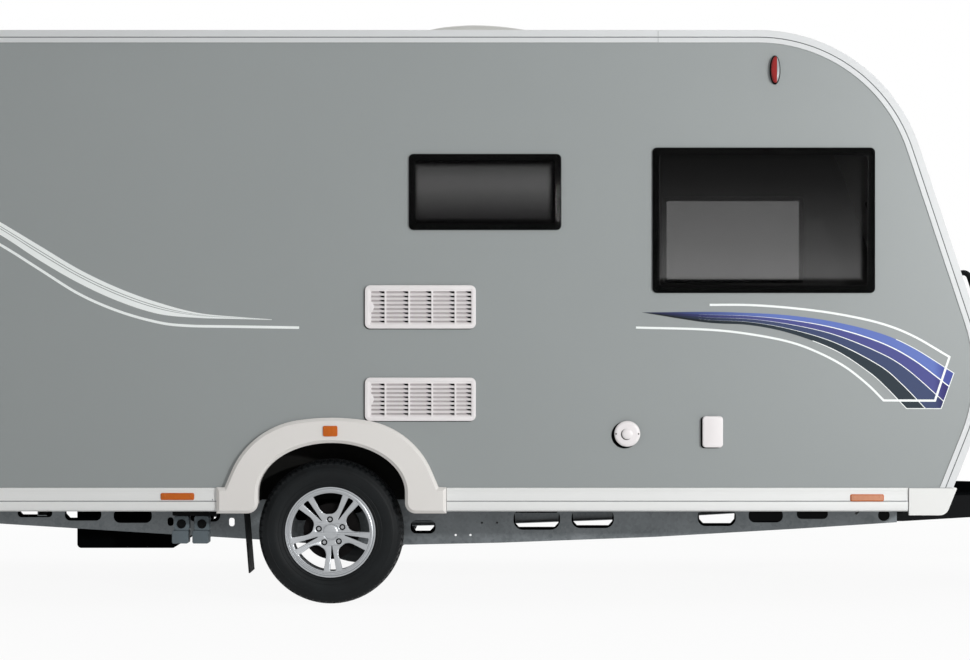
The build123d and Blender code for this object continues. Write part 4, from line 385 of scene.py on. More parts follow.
acrylic, tree, shader = finish("tinted_acrylic", "0e0e0e", 0.05, {"Alpha": PANE_COVER, **LOW_GLARE})
polish(tree, shader, 0.03, 0.07, 200.0)
along, across, height = (object_place(tree, axis) for axis in "XYZ")
right_side = math_node(tree, "LESS_THAN", across, 0.0)
tint_print_and_painted_reflection = "0e0e0e"
# Painted reflection: on each right pane the colour ramps with height, inside a border of black print.
for middle_x, half_x, middle_z, half_z, stops in PAINTED_REFLECTION_FIELDS:
    low, high = stops[0][0], stops[-1][0]
    rise = mapped(tree, height, {"From Min": low * MM, "From Max": high * MM})
    reflection_ramp = add(tree, "ShaderNodeValToRGB", None, {0: rise})
    for number, (level, code) in enumerate(stops):
        share = (level - low) / (high - low)
        if 0 < number < len(stops) - 1:
            reflection_ramp.color_ramp.elements.new(share)
        reflection_ramp.color_ramp.elements[number].position = share
        reflection_ramp.color_ramp.elements[number].color = linear(code)
    depths = depth_in_span(tree, along, middle_x, half_x), depth_in_span(tree, height, middle_z, half_z)
    inside = math_node(tree, "MINIMUM", *depths)
    clear = mapped(tree, inside, {"From Max": PRINT_SOFT * MM}, smooth=True)
    field = blended(tree, clear, "020202", reflection_ramp.outputs[0])
    near = math_node(tree, "GREATER_THAN", inside, -PRINT_REACH * MM)
    tint_print_and_painted_reflection = blended(tree, math_node(tree, "MULTIPLY", near, right_side), tint_print_and_painted_reflection, field)
tree.links.new(tint_print_and_painted_reflection, shader.inputs["Base Color"])
print("acrylic with", len(PAINTED_REFLECTION_FIELDS), "fields of painted reflection")

# %% [markdown]
# Lamp lenses are clear or coloured acrylic with fine upright flutes on the inside, which spread the light.
# A wave texture in the bump stands for them. The front amber lens has faded, so it has its own tone.

# %% Lens finishes
LENS_STYLES = {
    "amber_lens": "c05e10", "faded_amber_lens": "c4886b", "red_lens": "8c0c0c", "clear_lens": "d9dadc",
}
FLUTE_SPAN = 72.0
FLUTE_DEPTH = 0.4
lenses = {}
for name, code in LENS_STYLES.items():
    lens, tree, shader = finish(name, code, 0.2, {"Specular IOR Level": 0.25, "IOR": 1.49})
    flutes = add(tree, "ShaderNodeTexWave", {"bands_direction": "X"}, {
        "Vector": object_place(tree), "Scale": 1 / (FLUTE_SPAN * MM),
    }).outputs["Fac"]
    rise = add(tree, "ShaderNodeBump", None, {"Height": flutes, "Distance": FLUTE_DEPTH * MM}).outputs[0]
    tree.links.new(rise, shader.inputs["Normal"])
    lenses[name] = lens
print("lens finishes:", list(lenses))

# %% [markdown]
# The chassis is hot-dip galvanised: zinc freezes in spangles, flat patches a centimetre or two across, each
# with its own shade and its own roughness. A Voronoi pattern has such cells.

# %% Metal finishes
SPANGLE = 14.0
galvanised, tree, shader = finish("hot_dip_galvanised_steel", "8e9194", 0.45, {"Metallic": 0.85})
spangle = add(tree, "ShaderNodeTexVoronoi", None, {
    "Vector": object_place(tree), "Scale": 1 / (SPANGLE * MM),
})
shade = add(tree, "ShaderNodeSeparateColor", None, {0: spangle.outputs["Color"]}).outputs[0]
cloud = math_node(tree, "MULTIPLY_ADD", shade, 0.45, -0.1)
zinc = blended(tree, math_node(tree, "ADD", noise(tree, 160.0, 3.0), cloud), "505557", "7a7f82")
tree.links.new(zinc, shader.inputs["Base Color"])
dull = mapped(tree, shade, {"To Min": 0.38, "To Max": 0.58})
tree.links.new(dull, shader.inputs["Roughness"])

black_coat = coat("black_coated_steel", "0a0b0d", 0.4, ("08090a", "0e0f11", 90.0), (3.0, 0.06), LOW_GLARE)
silver_alloy, tree, shader = finish("silver_lacquered_alloy", "a9acaf", 0.34, {
    "Metallic": 0.75, "Coat Weight": 0.5, "Coat Roughness": 0.12,
})
grain(tree, shader, 0.6, 0.01)
brake_iron = coat("cast_brake_iron", "0f0e0e", 0.75, ("0b0a0a", "171515", 20.0), (2.0, 0.1), LOW_GLARE)
bright_steel, tree, shader = finish("zinc_plated_steel", "9a9c9e", 0.3, {"Metallic": 1.0})
polish(tree, shader, 0.24, 0.42, 6.0)
print("metals:", galvanised.name, black_coat.name, silver_alloy.name, brake_iron.name, bright_steel.name)

# %% [markdown]
# Rubber is nearly black, with a dusty sheen, and mottled with dry mud. The floor and the gas locker's box
# are plywood with a brown coat, whose grain is noise drawn out along the caravan.

# %% Rubber and wood finishes
DUSTY_SHEEN = {"Specular IOR Level": 0.16}
tyre_rubber = coat("tyre_rubber", "0b0d0e", 0.55, ("040506", "15191b", 70.0, 6.0), (1.4, 0.06), DUSTY_SHEEN)
sheet_rubber = coat("black_rubber_sheet", "0b0c0d", 0.6, ("090a0b", "0f1011", 30.0), (1.5, 0.05), LOW_GLARE)
PLY_GRAIN = 9.0
DRAWN_OUT = (0.08, 1.0, 1.0)
ply, tree, shader = finish("coated_plywood", "5a4a38", 0.6)
drawn = add(tree, "ShaderNodeMapping", None, {"Vector": object_place(tree), "Scale": DRAWN_OUT})
streak = add(tree, "ShaderNodeTexNoise", None, {
    "Vector": drawn.outputs[0], "Scale": 1 / (PLY_GRAIN * MM), "Detail": 4.0,
}).outputs["Fac"]
tree.links.new(blended(tree, streak, "3c3024", "6d5943"), shader.inputs["Base Color"])
print("rubber and wood:", tyre_rubber.name, sheet_rubber.name, ply.name)

# %% [markdown]
# A table says which solid has which finish. Slots of the record follow the solids, so nothing else is
# needed for them.

# %% Dress the solids
FINISHES = (
    (grey_coat, "side_wall_left side_wall_right"),
    (white_coat, "front_wall rear_wall roof_panel locker_lid end_valances door_leaf"),
    (powder_white, "edge_trims door_frame"),
    (skirt_white, "body_skirts"),
    (arch_white, "arch_trims"),
    (well_black, "wheel_boxes"),
    (satin_black, "door_handle grab_handles"),
    (dull_black, "drawbar_cover waste_tank"),
    (gloss_black, "window_frames"),
    (acrylic, "window_panes door_pane"),
    (white_abs, "fridge_vents wall_fittings"),
    (roof_white, "roof_unit"),
    (grey_abs, "drain_boxes"),
    (lenses["amber_lens"], "side_lamps arch_reflectors"),
    (lenses["red_lens"], "outline_lamps rear_lamps"),
    (galvanised, "chassis_rails cross_members axle_beam swing_arms jockey_mast jockey_leg jockey_fork"),
    (galvanised, "steady_bases"),
    (galvanised, "steady_leg_front_left steady_leg_front_right steady_leg_rear_left steady_leg_rear_right"),
    (galvanised, "steady_brace_front_left steady_brace_front_right"),
    (galvanised, "steady_brace_rear_left steady_brace_rear_right"),
    (black_coat, "drawbar_left drawbar_right overrun_device coupling_head handbrake_lever"),
    (silver_alloy, "rim_left rim_right"),
    (brake_iron, "drum_left drum_right"),
    (tyre_rubber, "tyre_left tyre_right jockey_wheel"),
    (sheet_rubber, "mud_flaps"),
    (ply, "floor_panel gas_locker_box"),
)
for material, names in FINISHES:
    for name in names.split():
        nodes[name].data.materials.clear()
        nodes[name].data.materials.append(material)
print("solids dressed:", sum(len(names.split()) for material, names in FINISHES), "of", len(nodes))

# %% [markdown]
# Three helpers make the pieces. The first turns a bmesh into a mesh whose faces point outwards. The second
# puts a mesh into the scene and lets it ride on a body. The third runs a Geometry Nodes tree on a mesh and
# gives back the plain mesh, so nothing live is left on the piece.

# %% Piece helpers
SMOOTH_ANGLE = radians(32)


def to_mesh(name, shape):
    """Plain mesh of a bmesh, with doubles merged and faces pointing outwards."""
    bmesh.ops.remove_doubles(shape, verts=shape.verts, dist=0.005 * MM)
    bmesh.ops.recalc_face_normals(shape, faces=shape.faces)
    mesh = bpy.data.meshes.new(name)
    shape.to_mesh(mesh)
    shape.free()
    return mesh


def place_piece(name, mesh, material, body, smooth=SMOOTH_ANGLE):
    """A finished mesh as a piece that rides on a body."""
    mesh.materials.clear()
    mesh.materials.append(material)
    mesh.shade_smooth()
    mesh.set_sharp_from_angle(angle=smooth)
    obj = bpy.data.objects.new(name, mesh)
    scene.collection.objects.link(obj)
    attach(obj, body)
    return obj


def run_tree(name, mesh, tree, values):
    """Plain mesh that a Geometry Nodes tree makes of a mesh."""
    source = bpy.data.objects.new(name, mesh)
    scene.collection.objects.link(source)
    modifier = source.modifiers.new(name, "NODES")
    modifier.node_group = tree
    for item in tree.interface.items_tree:
        if item.item_type == "SOCKET" and item.in_out == "INPUT" and item.name in values:
            modifier[item.identifier] = values[item.name]
    graph = bpy.context.evaluated_depsgraph_get()
    result = bpy.data.meshes.new_from_object(source.evaluated_get(graph), depsgraph=graph)
    source.modifiers.clear()
    bpy.data.objects.remove(source)
    result.name = name
    return result

print("edges sharper than", round(SMOOTH_ANGLE, 2), "radians stay sharp")

# %% [markdown]
# Two trees repeat things. One turns copies about a wheel's axis: bolts, tread blocks, ribs. The other sets
# copies in a row at a step: the rows of blades in the vents and their painted shadow wedges.

# %% Trees that repeat


def new_tree(name, sockets):
    """Geometry Nodes tree with named inputs. Returns the tree and its input sockets."""
    tree = bpy.data.node_groups.new(name, "GeometryNodeTree")
    tree.interface.new_socket("Geometry", in_out="OUTPUT", socket_type="NodeSocketGeometry")
    tree.interface.new_socket("Geometry", in_out="INPUT", socket_type="NodeSocketGeometry")
    for label, kind in sockets:
        tree.interface.new_socket(label, in_out="INPUT", socket_type=kind)
    return tree, tree.nodes.new("NodeGroupInput").outputs


def end_tree(tree, instances, material):
    """Realizes the instances, gives them their material and ends the tree."""
    real = add(tree, "GeometryNodeRealizeInstances", None, {0: instances}).outputs[0]
    painted = add(tree, "GeometryNodeSetMaterial", None, {"Geometry": real, "Material": material}).outputs[0]
    add(tree, "NodeGroupOutput", None, {0: painted})


turned_copies, given = new_tree("turned_copies", (
    ("Copies", "NodeSocketInt"), ("Centre", "NodeSocketVector"), ("Material", "NodeSocketMaterial"),
))
back = add(turned_copies, "ShaderNodeVectorMath", {"operation": "SCALE"}, {
    0: given["Centre"], "Scale": -1.0,
})
centred = add(turned_copies, "GeometryNodeTransform", None, {
    "Geometry": given["Geometry"], "Translation": back.outputs[0],
})
points = add(turned_copies, "GeometryNodePoints", None, {
    "Count": given["Copies"], "Position": given["Centre"],
})
index = add(turned_copies, "GeometryNodeInputIndex").outputs[0]
share = math_node(turned_copies, "DIVIDE", index, given["Copies"])
turn = math_node(turned_copies, "MULTIPLY", share, 2 * pi)
spin = add(turned_copies, "ShaderNodeCombineXYZ", None, {"Y": turn})
copies = add(turned_copies, "GeometryNodeInstanceOnPoints", None, {
    "Points": points.outputs[0], "Instance": centred.outputs[0], "Rotation": spin.outputs[0],
})
end_tree(turned_copies, copies.outputs[0], given["Material"])

stepped_copies, given = new_tree("stepped_copies", (
    ("Copies", "NodeSocketInt"), ("Step", "NodeSocketVector"), ("Material", "NodeSocketMaterial"),
))
line = add(stepped_copies, "GeometryNodeMeshLine", None, {"Count": given["Copies"], "Offset": given["Step"]})
copies = add(stepped_copies, "GeometryNodeInstanceOnPoints", None, {
    "Points": line.outputs[0], "Instance": given["Geometry"],
})
end_tree(stepped_copies, copies.outputs[0], given["Material"])
print("trees:", turned_copies.name, stepped_copies.name)

# %% [markdown]
# Tyre and wheel have to fit the solids that they replace, so their sizes are measured from the frame. Both
# are turned parts: one helper spins a closed profile about the axle, another mirrors a mesh to the far side.

# %% Wheel sizes from the frame
SIDES = (("left", 1), ("right", -1))
tyre_low, tyre_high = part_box("tyre_right")
TYRE_R = (tyre_high.z - tyre_low.z) / 2 / MM
TYRE_W = (tyre_high.y - tyre_low.y) / MM
TYRE_Y = -(tyre_high.y + tyre_low.y) / 2 / MM
AXLE_X = (tyre_high.x + tyre_low.x) / 2 / MM
print("tyre radius, width, middle, axle, mm:", [round(v, 1) for v in (TYRE_R, TYRE_W, TYRE_Y, AXLE_X)])


def spin_profile(profile, steps=128):
    """Closed profile of (radius, distance from the caravan's middle), spun about the axle, +Y side."""
    shape = bmesh.new()
    ring = [shape.verts.new((AXLE_X * MM, y * MM, (TYRE_R + r) * MM)) for r, y in profile]
    edges = [shape.edges.new((ring[i - 1], ring[i])) for i in range(len(ring))]
    bmesh.ops.spin(
        shape, geom=ring + edges, cent=(AXLE_X * MM, 0, TYRE_R * MM), axis=(0, 1, 0),
        angle=2 * pi, steps=steps, use_merge=True,
    )
    return shape


def mirror_to(mesh, side):
    """The same mesh on the caravan's other side, when side is -1."""
    if side < 0:
        mesh.transform(Matrix.Diagonal((1, -1, 1, 1)))
        mesh.flip_normals()
    return mesh


WHEEL_CENTRE = Vector((AXLE_X, 0, TYRE_R)) * MM

# %% [markdown]
# The tread is what the eye reads as a tyre, so its blocks are solid. A block has sloping sides and a slanted
# cut, and short ribs run down the shoulder. Each is built once, at the top of the wheel, where an angle is
# easy to give. A real tread mixes three block lengths to spread its noise, but one length reads the same.

# %% Tread parts
TREAD_DEPTH = 8.0
PITCHES = 66
PITCH_TURN = 2 * pi / PITCHES
GROOVE_R = TYRE_R - TREAD_DEPTH
BLOCK_FOOT = 2.5  # how deep the blocks stand in the carcass
BLOCK_SLANT = 0.28
BLOCK_TAPER = 0.88
BLOCK_PULL = 0.9  # how far a block's top edge stands in from its foot
SHOULDER_TURN = 0.1
SHOULDER_SHARE = 0.66
CROWN_DROP = 9.6  # fall of the tread from its middle towards its edge
# Section of a shoulder rib: depth below the tyre's top, distance from its middle
SHOULDER = ((14.0, 78.0), (26.0, 82.0), (33.0, 91.0), (20.0, 90.0), (9.6, 82.5))


def crown_r(y):
    """Radius of the tread's outside at a distance from the tyre's middle."""
    return TYRE_R - CROWN_DROP * (y / (TYRE_W / 2 - 20)) ** 2


def on_tyre(radius, across, turn):
    """Place at a radius, a distance from the tyre's middle and an angle from the top."""
    return Vector((AXLE_X + radius * sin(turn), TYRE_Y + across, TYRE_R + radius * cos(turn))) * MM


def tread_block(near, far, share, turn, way):
    """One block of a tread row, with sloping sides, a slanted cut and a little crown."""
    half = PITCH_TURN / 2 * share
    slant = way * BLOCK_SLANT * half
    shape = bmesh.new()
    corners = []
    for y, lean, pull in ((near, -slant, BLOCK_PULL), (far, slant, -BLOCK_PULL)):
        for radius, shrink, inward in ((GROOVE_R - BLOCK_FOOT, 1.0, 0.0), (crown_r(y), BLOCK_TAPER, pull)):
            for end in (-1, 1):
                angle = turn * PITCH_TURN + lean + end * half * shrink
                corners.append(shape.verts.new(on_tyre(radius, way * (y + inward), angle)))
    for face in ((0, 1, 5, 4), (2, 3, 7, 6), (0, 2, 3, 1), (4, 6, 7, 5), (0, 2, 6, 4), (1, 3, 7, 5)):
        shape.faces.new([corners[i] for i in face])
    return to_mesh("tread_block", shape)


def loft(shape, first, last):
    """Closes the space between two equal rings of points."""
    shape.faces.new(first)
    shape.faces.new(list(reversed(last)))
    for i in range(len(first)):
        shape.faces.new((first[i - 1], first[i], last[i], last[i - 1]))


def shoulder_rib(way):
    """Short rib that runs from the last tread row down the tyre's shoulder."""
    half = PITCH_TURN / 2 * SHOULDER_SHARE
    shape = bmesh.new()
    rings = []
    for end in (-1, 1):
        turn = SHOULDER_TURN * PITCH_TURN + end * half
        rings.append([shape.verts.new(on_tyre(TYRE_R - drop, way * y, turn)) for drop, y in SHOULDER])
    loft(shape, *rings)
    return to_mesh("shoulder_rib", shape)


print("tread pitch, degrees:", round(360 / PITCHES, 2))

# %% [markdown]
# A tyre is a body of revolution with blocks on it. The carcass is a profile spun about the axle: bead,
# bulging wall with the mould's rings, shoulder and a groove floor. The first tree repeats the blocks and
# ribs about the axle, which is shorter and surer than to place some hundreds of them one by one.

# %% Tyres
# Half profile of the carcass: radius, distance from the tyre's middle
CARCASS = (
    (196.0, 60.0), (196.0, 76.0), (207.9, 76.6), (209.0, 84.5), (213.0, 90.5), (219.0, 93.6), (222.0, 92.4),
    (224.0, 94.2), (238.0, 98.4), (240.0, 97.6), (242.0, 98.9), (262.0, 102.2), (282.0, 100.6),
    (284.0, 99.4), (286.0, 100.0), (297.0, 97.0), (299.0, 95.4), (306.0, 92.2), (314.0, 88.5), (319.0, 83.0),
)
GROOVE_FLOOR_HALF = 70.0
GROOVE_FALL = 1.0
# Tread rows: near edge, far edge from the middle, block length as a share of the pitch, turn in pitches
TREAD_ROWS = ((2.5, 20.5, 0.80, 0.0), (26.0, 46.0, 0.76, 0.35), (52.0, 82.0, 0.72, 0.1))
FAR_SIDE_TURN = 0.5  # the inner half of the tread is turned on by this share of a pitch
TYRE_SMOOTH = radians(24)


def join(meshes, name):
    """One mesh out of several."""
    shape = bmesh.new()
    for mesh in meshes:
        shape.from_mesh(mesh)
    mesh = bpy.data.meshes.new(name)
    shape.to_mesh(mesh)
    shape.free()
    return mesh


profile = [(r, TYRE_Y + y) for r, y in CARCASS]
edge_r = GROOVE_R - GROOVE_FALL
profile += [(edge_r, TYRE_Y + GROOVE_FLOOR_HALF), (GROOVE_R, TYRE_Y), (edge_r, TYRE_Y - GROOVE_FLOOR_HALF)]
profile += [(r, TYRE_Y - y) for r, y in reversed(CARCASS)]
for side_name, side in SIDES:
    parts = [to_mesh("carcass", spin_profile(profile, 144))]
    turning = {"Copies": PITCHES, "Centre": WHEEL_CENTRE, "Material": tyre_rubber}
    for near, far, share, turn in TREAD_ROWS:
        for way in (-1, 1):
            block = tread_block(near, far, share, turn + (FAR_SIDE_TURN if way < 0 else 0), way)
            parts.append(run_tree("tread_row", block, turned_copies, turning))
    for way in (-1, 1):
        parts.append(run_tree("shoulder_row", shoulder_rib(way), turned_copies, turning))
    tyre = place_piece(
        f"treaded_tyre_{side_name}", mirror_to(join(parts, "treaded_tyre"), side), tyre_rubber,
        f"wheel_{side_name}", TYRE_SMOOTH,
    )
    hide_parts(f"tyre_{side_name}")
    print(tyre.name, len(tyre.data.polygons), "faces")

# %% [markdown]
# The alloy wheel has five pairs of spokes. Spokes are what the casting leaves between its openings, so the
# openings are drawn: a large window between two pairs, and a narrow slit that splits a pair. Both are corner
# points in the flat face of the wheel.

# %% Openings of the wheel
PAIRS = 5
PAIR_PHASE = -86.0  # direction of the lowest pair in degrees, seen from outside on the right
FACE_R = 188.0
WINDOW_OUT_R = 179.0
LEG_OUT_HALF = 43.0  # half width of a pair at the window's outer end
LEG_IN_HALF = 29.5
LEG_IN_R = 112.0
SCALLOP_R = 83.0
SLIT_IN_R = 66.0
SLIT_OUT_HALF = 13.5
SLIT_IN_HALF = 1.2
SLIT_END = ((5.0, 0.0), (1.0, 4.0))  # a slit's outer corners: in from the window's radius, in from its flank
HALF_PITCH = 180.0 / PAIRS
ARC_STEPS = 6


def polar(radius, degrees_from):
    """Point in the wheel's face."""
    return Vector((radius * cos(radians(degrees_from)), radius * sin(radians(degrees_from))))


def scallop(leg, pull, low):
    """Curve from a leg of the window to its lowest point."""
    shares = [step / ARC_STEPS for step in range(ARC_STEPS + 1)]
    return [(1 - t) ** 2 * leg + 2 * t * (1 - t) * pull + t * t * low for t in shares]


def window_outline(middle):
    """Opening between two pairs: outer arc, two straight legs and a scallop at the hub."""
    reach_out = HALF_PITCH - atan2(LEG_OUT_HALF, sqrt(WINDOW_OUT_R ** 2 - LEG_OUT_HALF ** 2)) * 180 / pi
    reach_in = HALF_PITCH - atan2(LEG_IN_HALF, LEG_IN_R) * 180 / pi
    leg_r = sqrt(LEG_IN_R ** 2 + LEG_IN_HALF ** 2)
    steps = range(-ARC_STEPS, ARC_STEPS + 1)
    points = [polar(WINDOW_OUT_R, middle + reach_out * step / ARC_STEPS) for step in steps]
    halves = []
    for way in (1, -1):
        pull = polar(SCALLOP_R, middle + way * HALF_PITCH / 2)
        halves.append(scallop(polar(leg_r, middle + way * reach_in), pull, polar(SCALLOP_R, middle)))
    return points + halves[0] + halves[1][-2::-1]


def slit_outline(middle):
    """Narrow opening that splits a pair, widening outwards."""
    half = [(SLIT_IN_R, -SLIT_IN_HALF)]
    half += [(WINDOW_OUT_R - short, narrow - SLIT_OUT_HALF) for short, narrow in SLIT_END]
    turn = Matrix.Rotation(radians(middle), 2)
    return [turn @ Vector(corner) for corner in half + [(x, -y) for x, y in reversed(half)]]


print("corners of a window and a slit:", len(window_outline(0.0)), len(slit_outline(0.0)))

# %% [markdown]
# A curve object can be filled, given a thickness and bevelled, holes included. That rounds every edge as a
# casting or a moulding has it, and the mesh that comes of it is closed. The fittings of the wall are made in
# the same way further down.

# %% Plates from outlines
BEVEL_STEPS = 2


def circle_outline(centre, radius, steps):
    """Circle as corner points."""
    return [centre + polar(radius, 360.0 * step / steps) for step in range(steps)]


def cut_plate(name, outlines, thick, bevel):
    """Plate in local XY with holes and rounded edges, in millimetres, from its outlines."""
    curve = bpy.data.curves.new(name, "CURVE")
    curve.dimensions = "2D"
    curve.fill_mode = "BOTH"
    curve.extrude = thick / 2 - bevel
    curve.bevel_depth = bevel
    curve.bevel_resolution = BEVEL_STEPS
    curve.offset = -bevel
    for outline in outlines:
        spline = curve.splines.new("POLY")
        spline.points.add(len(outline) - 1)
        for point, corner in zip(spline.points, outline):
            point.co = (corner[0], corner[1], 0, 1)
        spline.use_cyclic_u = True
    obj = bpy.data.objects.new(name, curve)
    scene.collection.objects.link(obj)
    graph = bpy.context.evaluated_depsgraph_get()
    mesh = bpy.data.meshes.new_from_object(obj.evaluated_get(graph), depsgraph=graph)
    bpy.data.objects.remove(obj)
    shape = bmesh.new()
    shape.from_mesh(mesh)
    return shape


print("every bevel has", BEVEL_STEPS, "steps")

# %% [markdown]
# The wheel's face is cut flat, and then each of its points is moved outwards by the dish: low at the hub,
# high at the rim. The barrel behind it is a spun profile.

# %% Alloy wheels
PITCH_R = 57.0
SEAT_R = 13.5
FACE_T = 20.0
FACE_BEVEL = 3.2
HUB_FACE_Y = 1060.0
RIM_FACE_Y = 1082.0
HUB_FLAT_R = 66.0
DISH_BEND = 0.8
WHEEL_SMOOTH = radians(35)


def dish_y(r):
    """How far out the wheel's face lies at a radius."""
    if r < HUB_FLAT_R:
        return HUB_FACE_Y
    run = (r - HUB_FLAT_R) / (FACE_R - HUB_FLAT_R)
    return HUB_FACE_Y + (RIM_FACE_Y - HUB_FACE_Y) * min(run, 1.0) ** DISH_BEND


BARREL = (
    (207.5, 1088.0), (207.9, 1086.0), (206.5, 1080.0), (196.0, 1076.5), (192.0, 1074.0), (192.0, 931.0),
    (207.0, 926.0), (207.0, 918.0), (200.0, 917.0), (186.0, 926.0), (185.0, 1050.0), (185.5, 1070.0),
    (184.0, 1081.0), (186.0, 1085.5), (190.0, 1086.0), (193.0, 1083.5), (198.0, 1083.0), (201.5, 1088.0),
)
for side_name, side in SIDES:
    outlines = [circle_outline(Vector((0, 0)), FACE_R, 120)]
    for pair in range(PAIRS):
        toward = PAIR_PHASE + 2 * HALF_PITCH * pair
        outlines.append(window_outline(toward + HALF_PITCH))
        outlines.append(slit_outline(toward))
        outlines.append(circle_outline(polar(PITCH_R, toward + HALF_PITCH), SEAT_R, 20))
    shape = cut_plate("wheel_face", outlines, FACE_T, FACE_BEVEL)
    bmesh.ops.triangulate(shape, faces=[face for face in shape.faces if len(face.verts) > 4])
    for vert in shape.verts:
        r = sqrt(vert.co.x ** 2 + vert.co.y ** 2)
        out = dish_y(r) + vert.co.z - FACE_T / 2
        vert.co = Vector((AXLE_X + vert.co.x, -out, TYRE_R + vert.co.y)) * MM
    face_mesh = to_mesh("wheel_face", shape)
    barrel = mirror_to(to_mesh("wheel_barrel", spin_profile(BARREL)), -1)
    wheel = place_piece(
        f"alloy_wheel_{side_name}", mirror_to(join((face_mesh, barrel), "alloy_wheel"), -side), silver_alloy,
        f"wheel_{side_name}", WHEEL_SMOOTH,
    )
    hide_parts(f"rim_{side_name}")
    print(wheel.name, len(wheel.data.polygons), "faces")

# %% [markdown]
# The hub cap is a turned part with a bead round its rim. The bolts are plain hexagons that sit deep in their
# seats between the pairs of spokes, and the first tree repeats them about the axle.

# %% Cap and bolts
CAP = (
    (0.0, 1066.5), (22.0, 1066.0), (31.0, 1064.5), (34.5, 1062.0), (35.5, 1060.4), (38.5, 1061.6),
    (40.0, 1060.2), (40.5, 1058.0), (0.0, 1058.0),
)
BOLT_HEAD_R = 10.0
BOLT_CROWN = 0.86
BOLT_OUT = 9.0
BOLT_LIFT = 6.0  # how far the head stands off the back of the wheel's face
for side_name, side in SIDES:
    cap = mirror_to(to_mesh("hub_cap", spin_profile(CAP, 64)), side)
    place_piece(f"hub_cap_{side_name}", cap, silver_alloy, f"wheel_{side_name}")
    shape = bmesh.new()
    bmesh.ops.create_cone(
        shape, cap_ends=True, segments=6, radius1=BOLT_HEAD_R * MM, radius2=BOLT_HEAD_R * BOLT_CROWN * MM,
        depth=BOLT_OUT * MM,
    )
    toward = polar(PITCH_R, PAIR_PHASE + HALF_PITCH)
    depth = HUB_FACE_Y - FACE_T + BOLT_OUT / 2 + BOLT_LIFT
    spot = Vector((AXLE_X + toward.x, -depth, TYRE_R + toward.y)) * MM
    stand = Matrix.Translation(spot) @ Matrix.Rotation(pi / 2, 4, "X")
    bmesh.ops.transform(shape, matrix=stand, verts=shape.verts)
    bolts = run_tree("wheel_bolts", to_mesh("wheel_bolt", shape), turned_copies, {
        "Copies": PAIRS, "Centre": WHEEL_CENTRE, "Material": bright_steel,
    })
    bolts = mirror_to(bolts, -side)
    place_piece(f"wheel_bolts_{side_name}", bolts, bright_steel, f"wheel_{side_name}")
print("caps and bolts:", 2 * len(SIDES), "pieces")

# %% [markdown]
# The stripes are cut vinyl, a few tenths of a millimetre thick, laid on the wall. Their outlines are taken
# from the picture in its own pixels, because that is where they can be measured, and one function turns a
# pixel into a place on the wall. Smooth curves go through a few points.

# %% Stripe helpers
PIXEL = 4.56  # millimetres on the side wall for one pixel of the picture
PIXEL_X0 = 525.0
PIXEL_Z0 = 335.0
WALL_X0 = 3.0
WALL_Z0 = 1238.8


def on_wall(px, py):
    """Place on the side wall, in millimetres, of a pixel of the picture."""
    return Vector(((px - PIXEL_X0) * PIXEL + WALL_X0, WALL_Z0 - (py - PIXEL_Z0) * PIXEL))


def smooth_curve(points, steps=8):
    """Points along a smooth curve through the given points."""
    dense = []
    ends = [2 * points[0] - points[1]] + list(points) + [2 * points[-1] - points[-2]]
    for a, b, c, d in zip(ends, ends[1:], ends[2:], ends[3:]):
        for step in range(steps):
            t = step / steps
            dense.append(0.5 * (
                2 * b + (c - a) * t + (2 * a - 5 * b + 4 * c - d) * t * t + (3 * b - a - 3 * c + d) * t ** 3
            ))
    dense.append(points[-1])
    return dense


def wall_curve(pixels):
    """Smooth curve on the wall through some pixels of the picture."""
    return smooth_curve([on_wall(*pixel) for pixel in pixels])


print("the picture's frame on the wall, mm:", on_wall(0, 0)[:], "to", on_wall(970, 660)[:])

# %% [markdown]
# A stripe is a ribbon: a thin closed solid between two edges. A line of even width gets its edges from its
# middle, a little further out at each bend, so that it keeps its width there. Films that cross one another
# are lifted by their own thickness.

# %% Ribbons
VINYL = 0.5
HAIR = 0.05  # share of its width with which a tapered line starts
HAIR_GROWTH = 1.6
MITRE_LIMIT = 0.4


def ribbon(edge_a, edge_b, lift=0.0):
    """Thin solid between two edges on the right side wall."""
    shape = bmesh.new()
    rows = []
    for depth in (lift, lift + VINYL):
        for edge in (edge_a, edge_b):
            rows.append([shape.verts.new((p.x * MM, -(WALL_Y + depth) * MM, p.y * MM)) for p in edge])
    low_a, low_b, high_a, high_b = rows
    for i in range(1, len(edge_a)):
        shape.faces.new((high_a[i - 1], high_a[i], high_b[i], high_b[i - 1]))
        shape.faces.new((low_a[i - 1], low_b[i - 1], low_b[i], low_a[i]))
        shape.faces.new((low_a[i - 1], low_a[i], high_a[i], high_a[i - 1]))
        shape.faces.new((low_b[i - 1], high_b[i - 1], high_b[i], low_b[i]))
    shape.faces.new((low_a[0], high_a[0], high_b[0], low_b[0]))
    shape.faces.new((low_a[-1], low_b[-1], high_b[-1], high_a[-1]))
    return to_mesh("ribbon", shape)


def line_edges(points, width, taper=0):
    """The two edges of a line along points. With a taper it grows from a hair over so many of them."""
    full = width
    near, far = [], []
    for i, point in enumerate(points):
        growth = min(1.0, i / taper) ** HAIR_GROWTH if taper else 1.0
        width = full * (HAIR + (1 - HAIR) * growth)
        before = points[max(i - 1, 0)]
        after = points[min(i + 1, len(points) - 1)]
        run = (after - before).normalized()
        across = Vector((-run.y, run.x)) * width / 2
        if 0 < i < len(points) - 1:
            first, second = (point - before).normalized(), (after - point).normalized()
            run = (first + second).normalized()
            across = Vector((-run.y, run.x)) * width / 2 / max(first.dot(run), MITRE_LIMIT)
        near.append(point + across)
        far.append(point - across)
    return near, far


def fit(name, meshes, material, smooth=SMOOTH_ANGLE):
    """Joins meshes into one piece that is fixed to the body."""
    return place_piece(name, join(meshes, name), material, "root", smooth)


print("film thickness, mm:", VINYL)

# %% [markdown]
# Each band of the fan is dark at its tip, has its full colour along its length and is darker again at its
# end, as such prints fade. The colour follows the distance along the wall in two smooth steps.

# %% Stripe finishes
white_vinyl, tree, shader = finish("white_cut_vinyl", "eef2f1", 0.3)
mottle(tree, shader, "ecf0ef", "f0f4f3", 200.0)
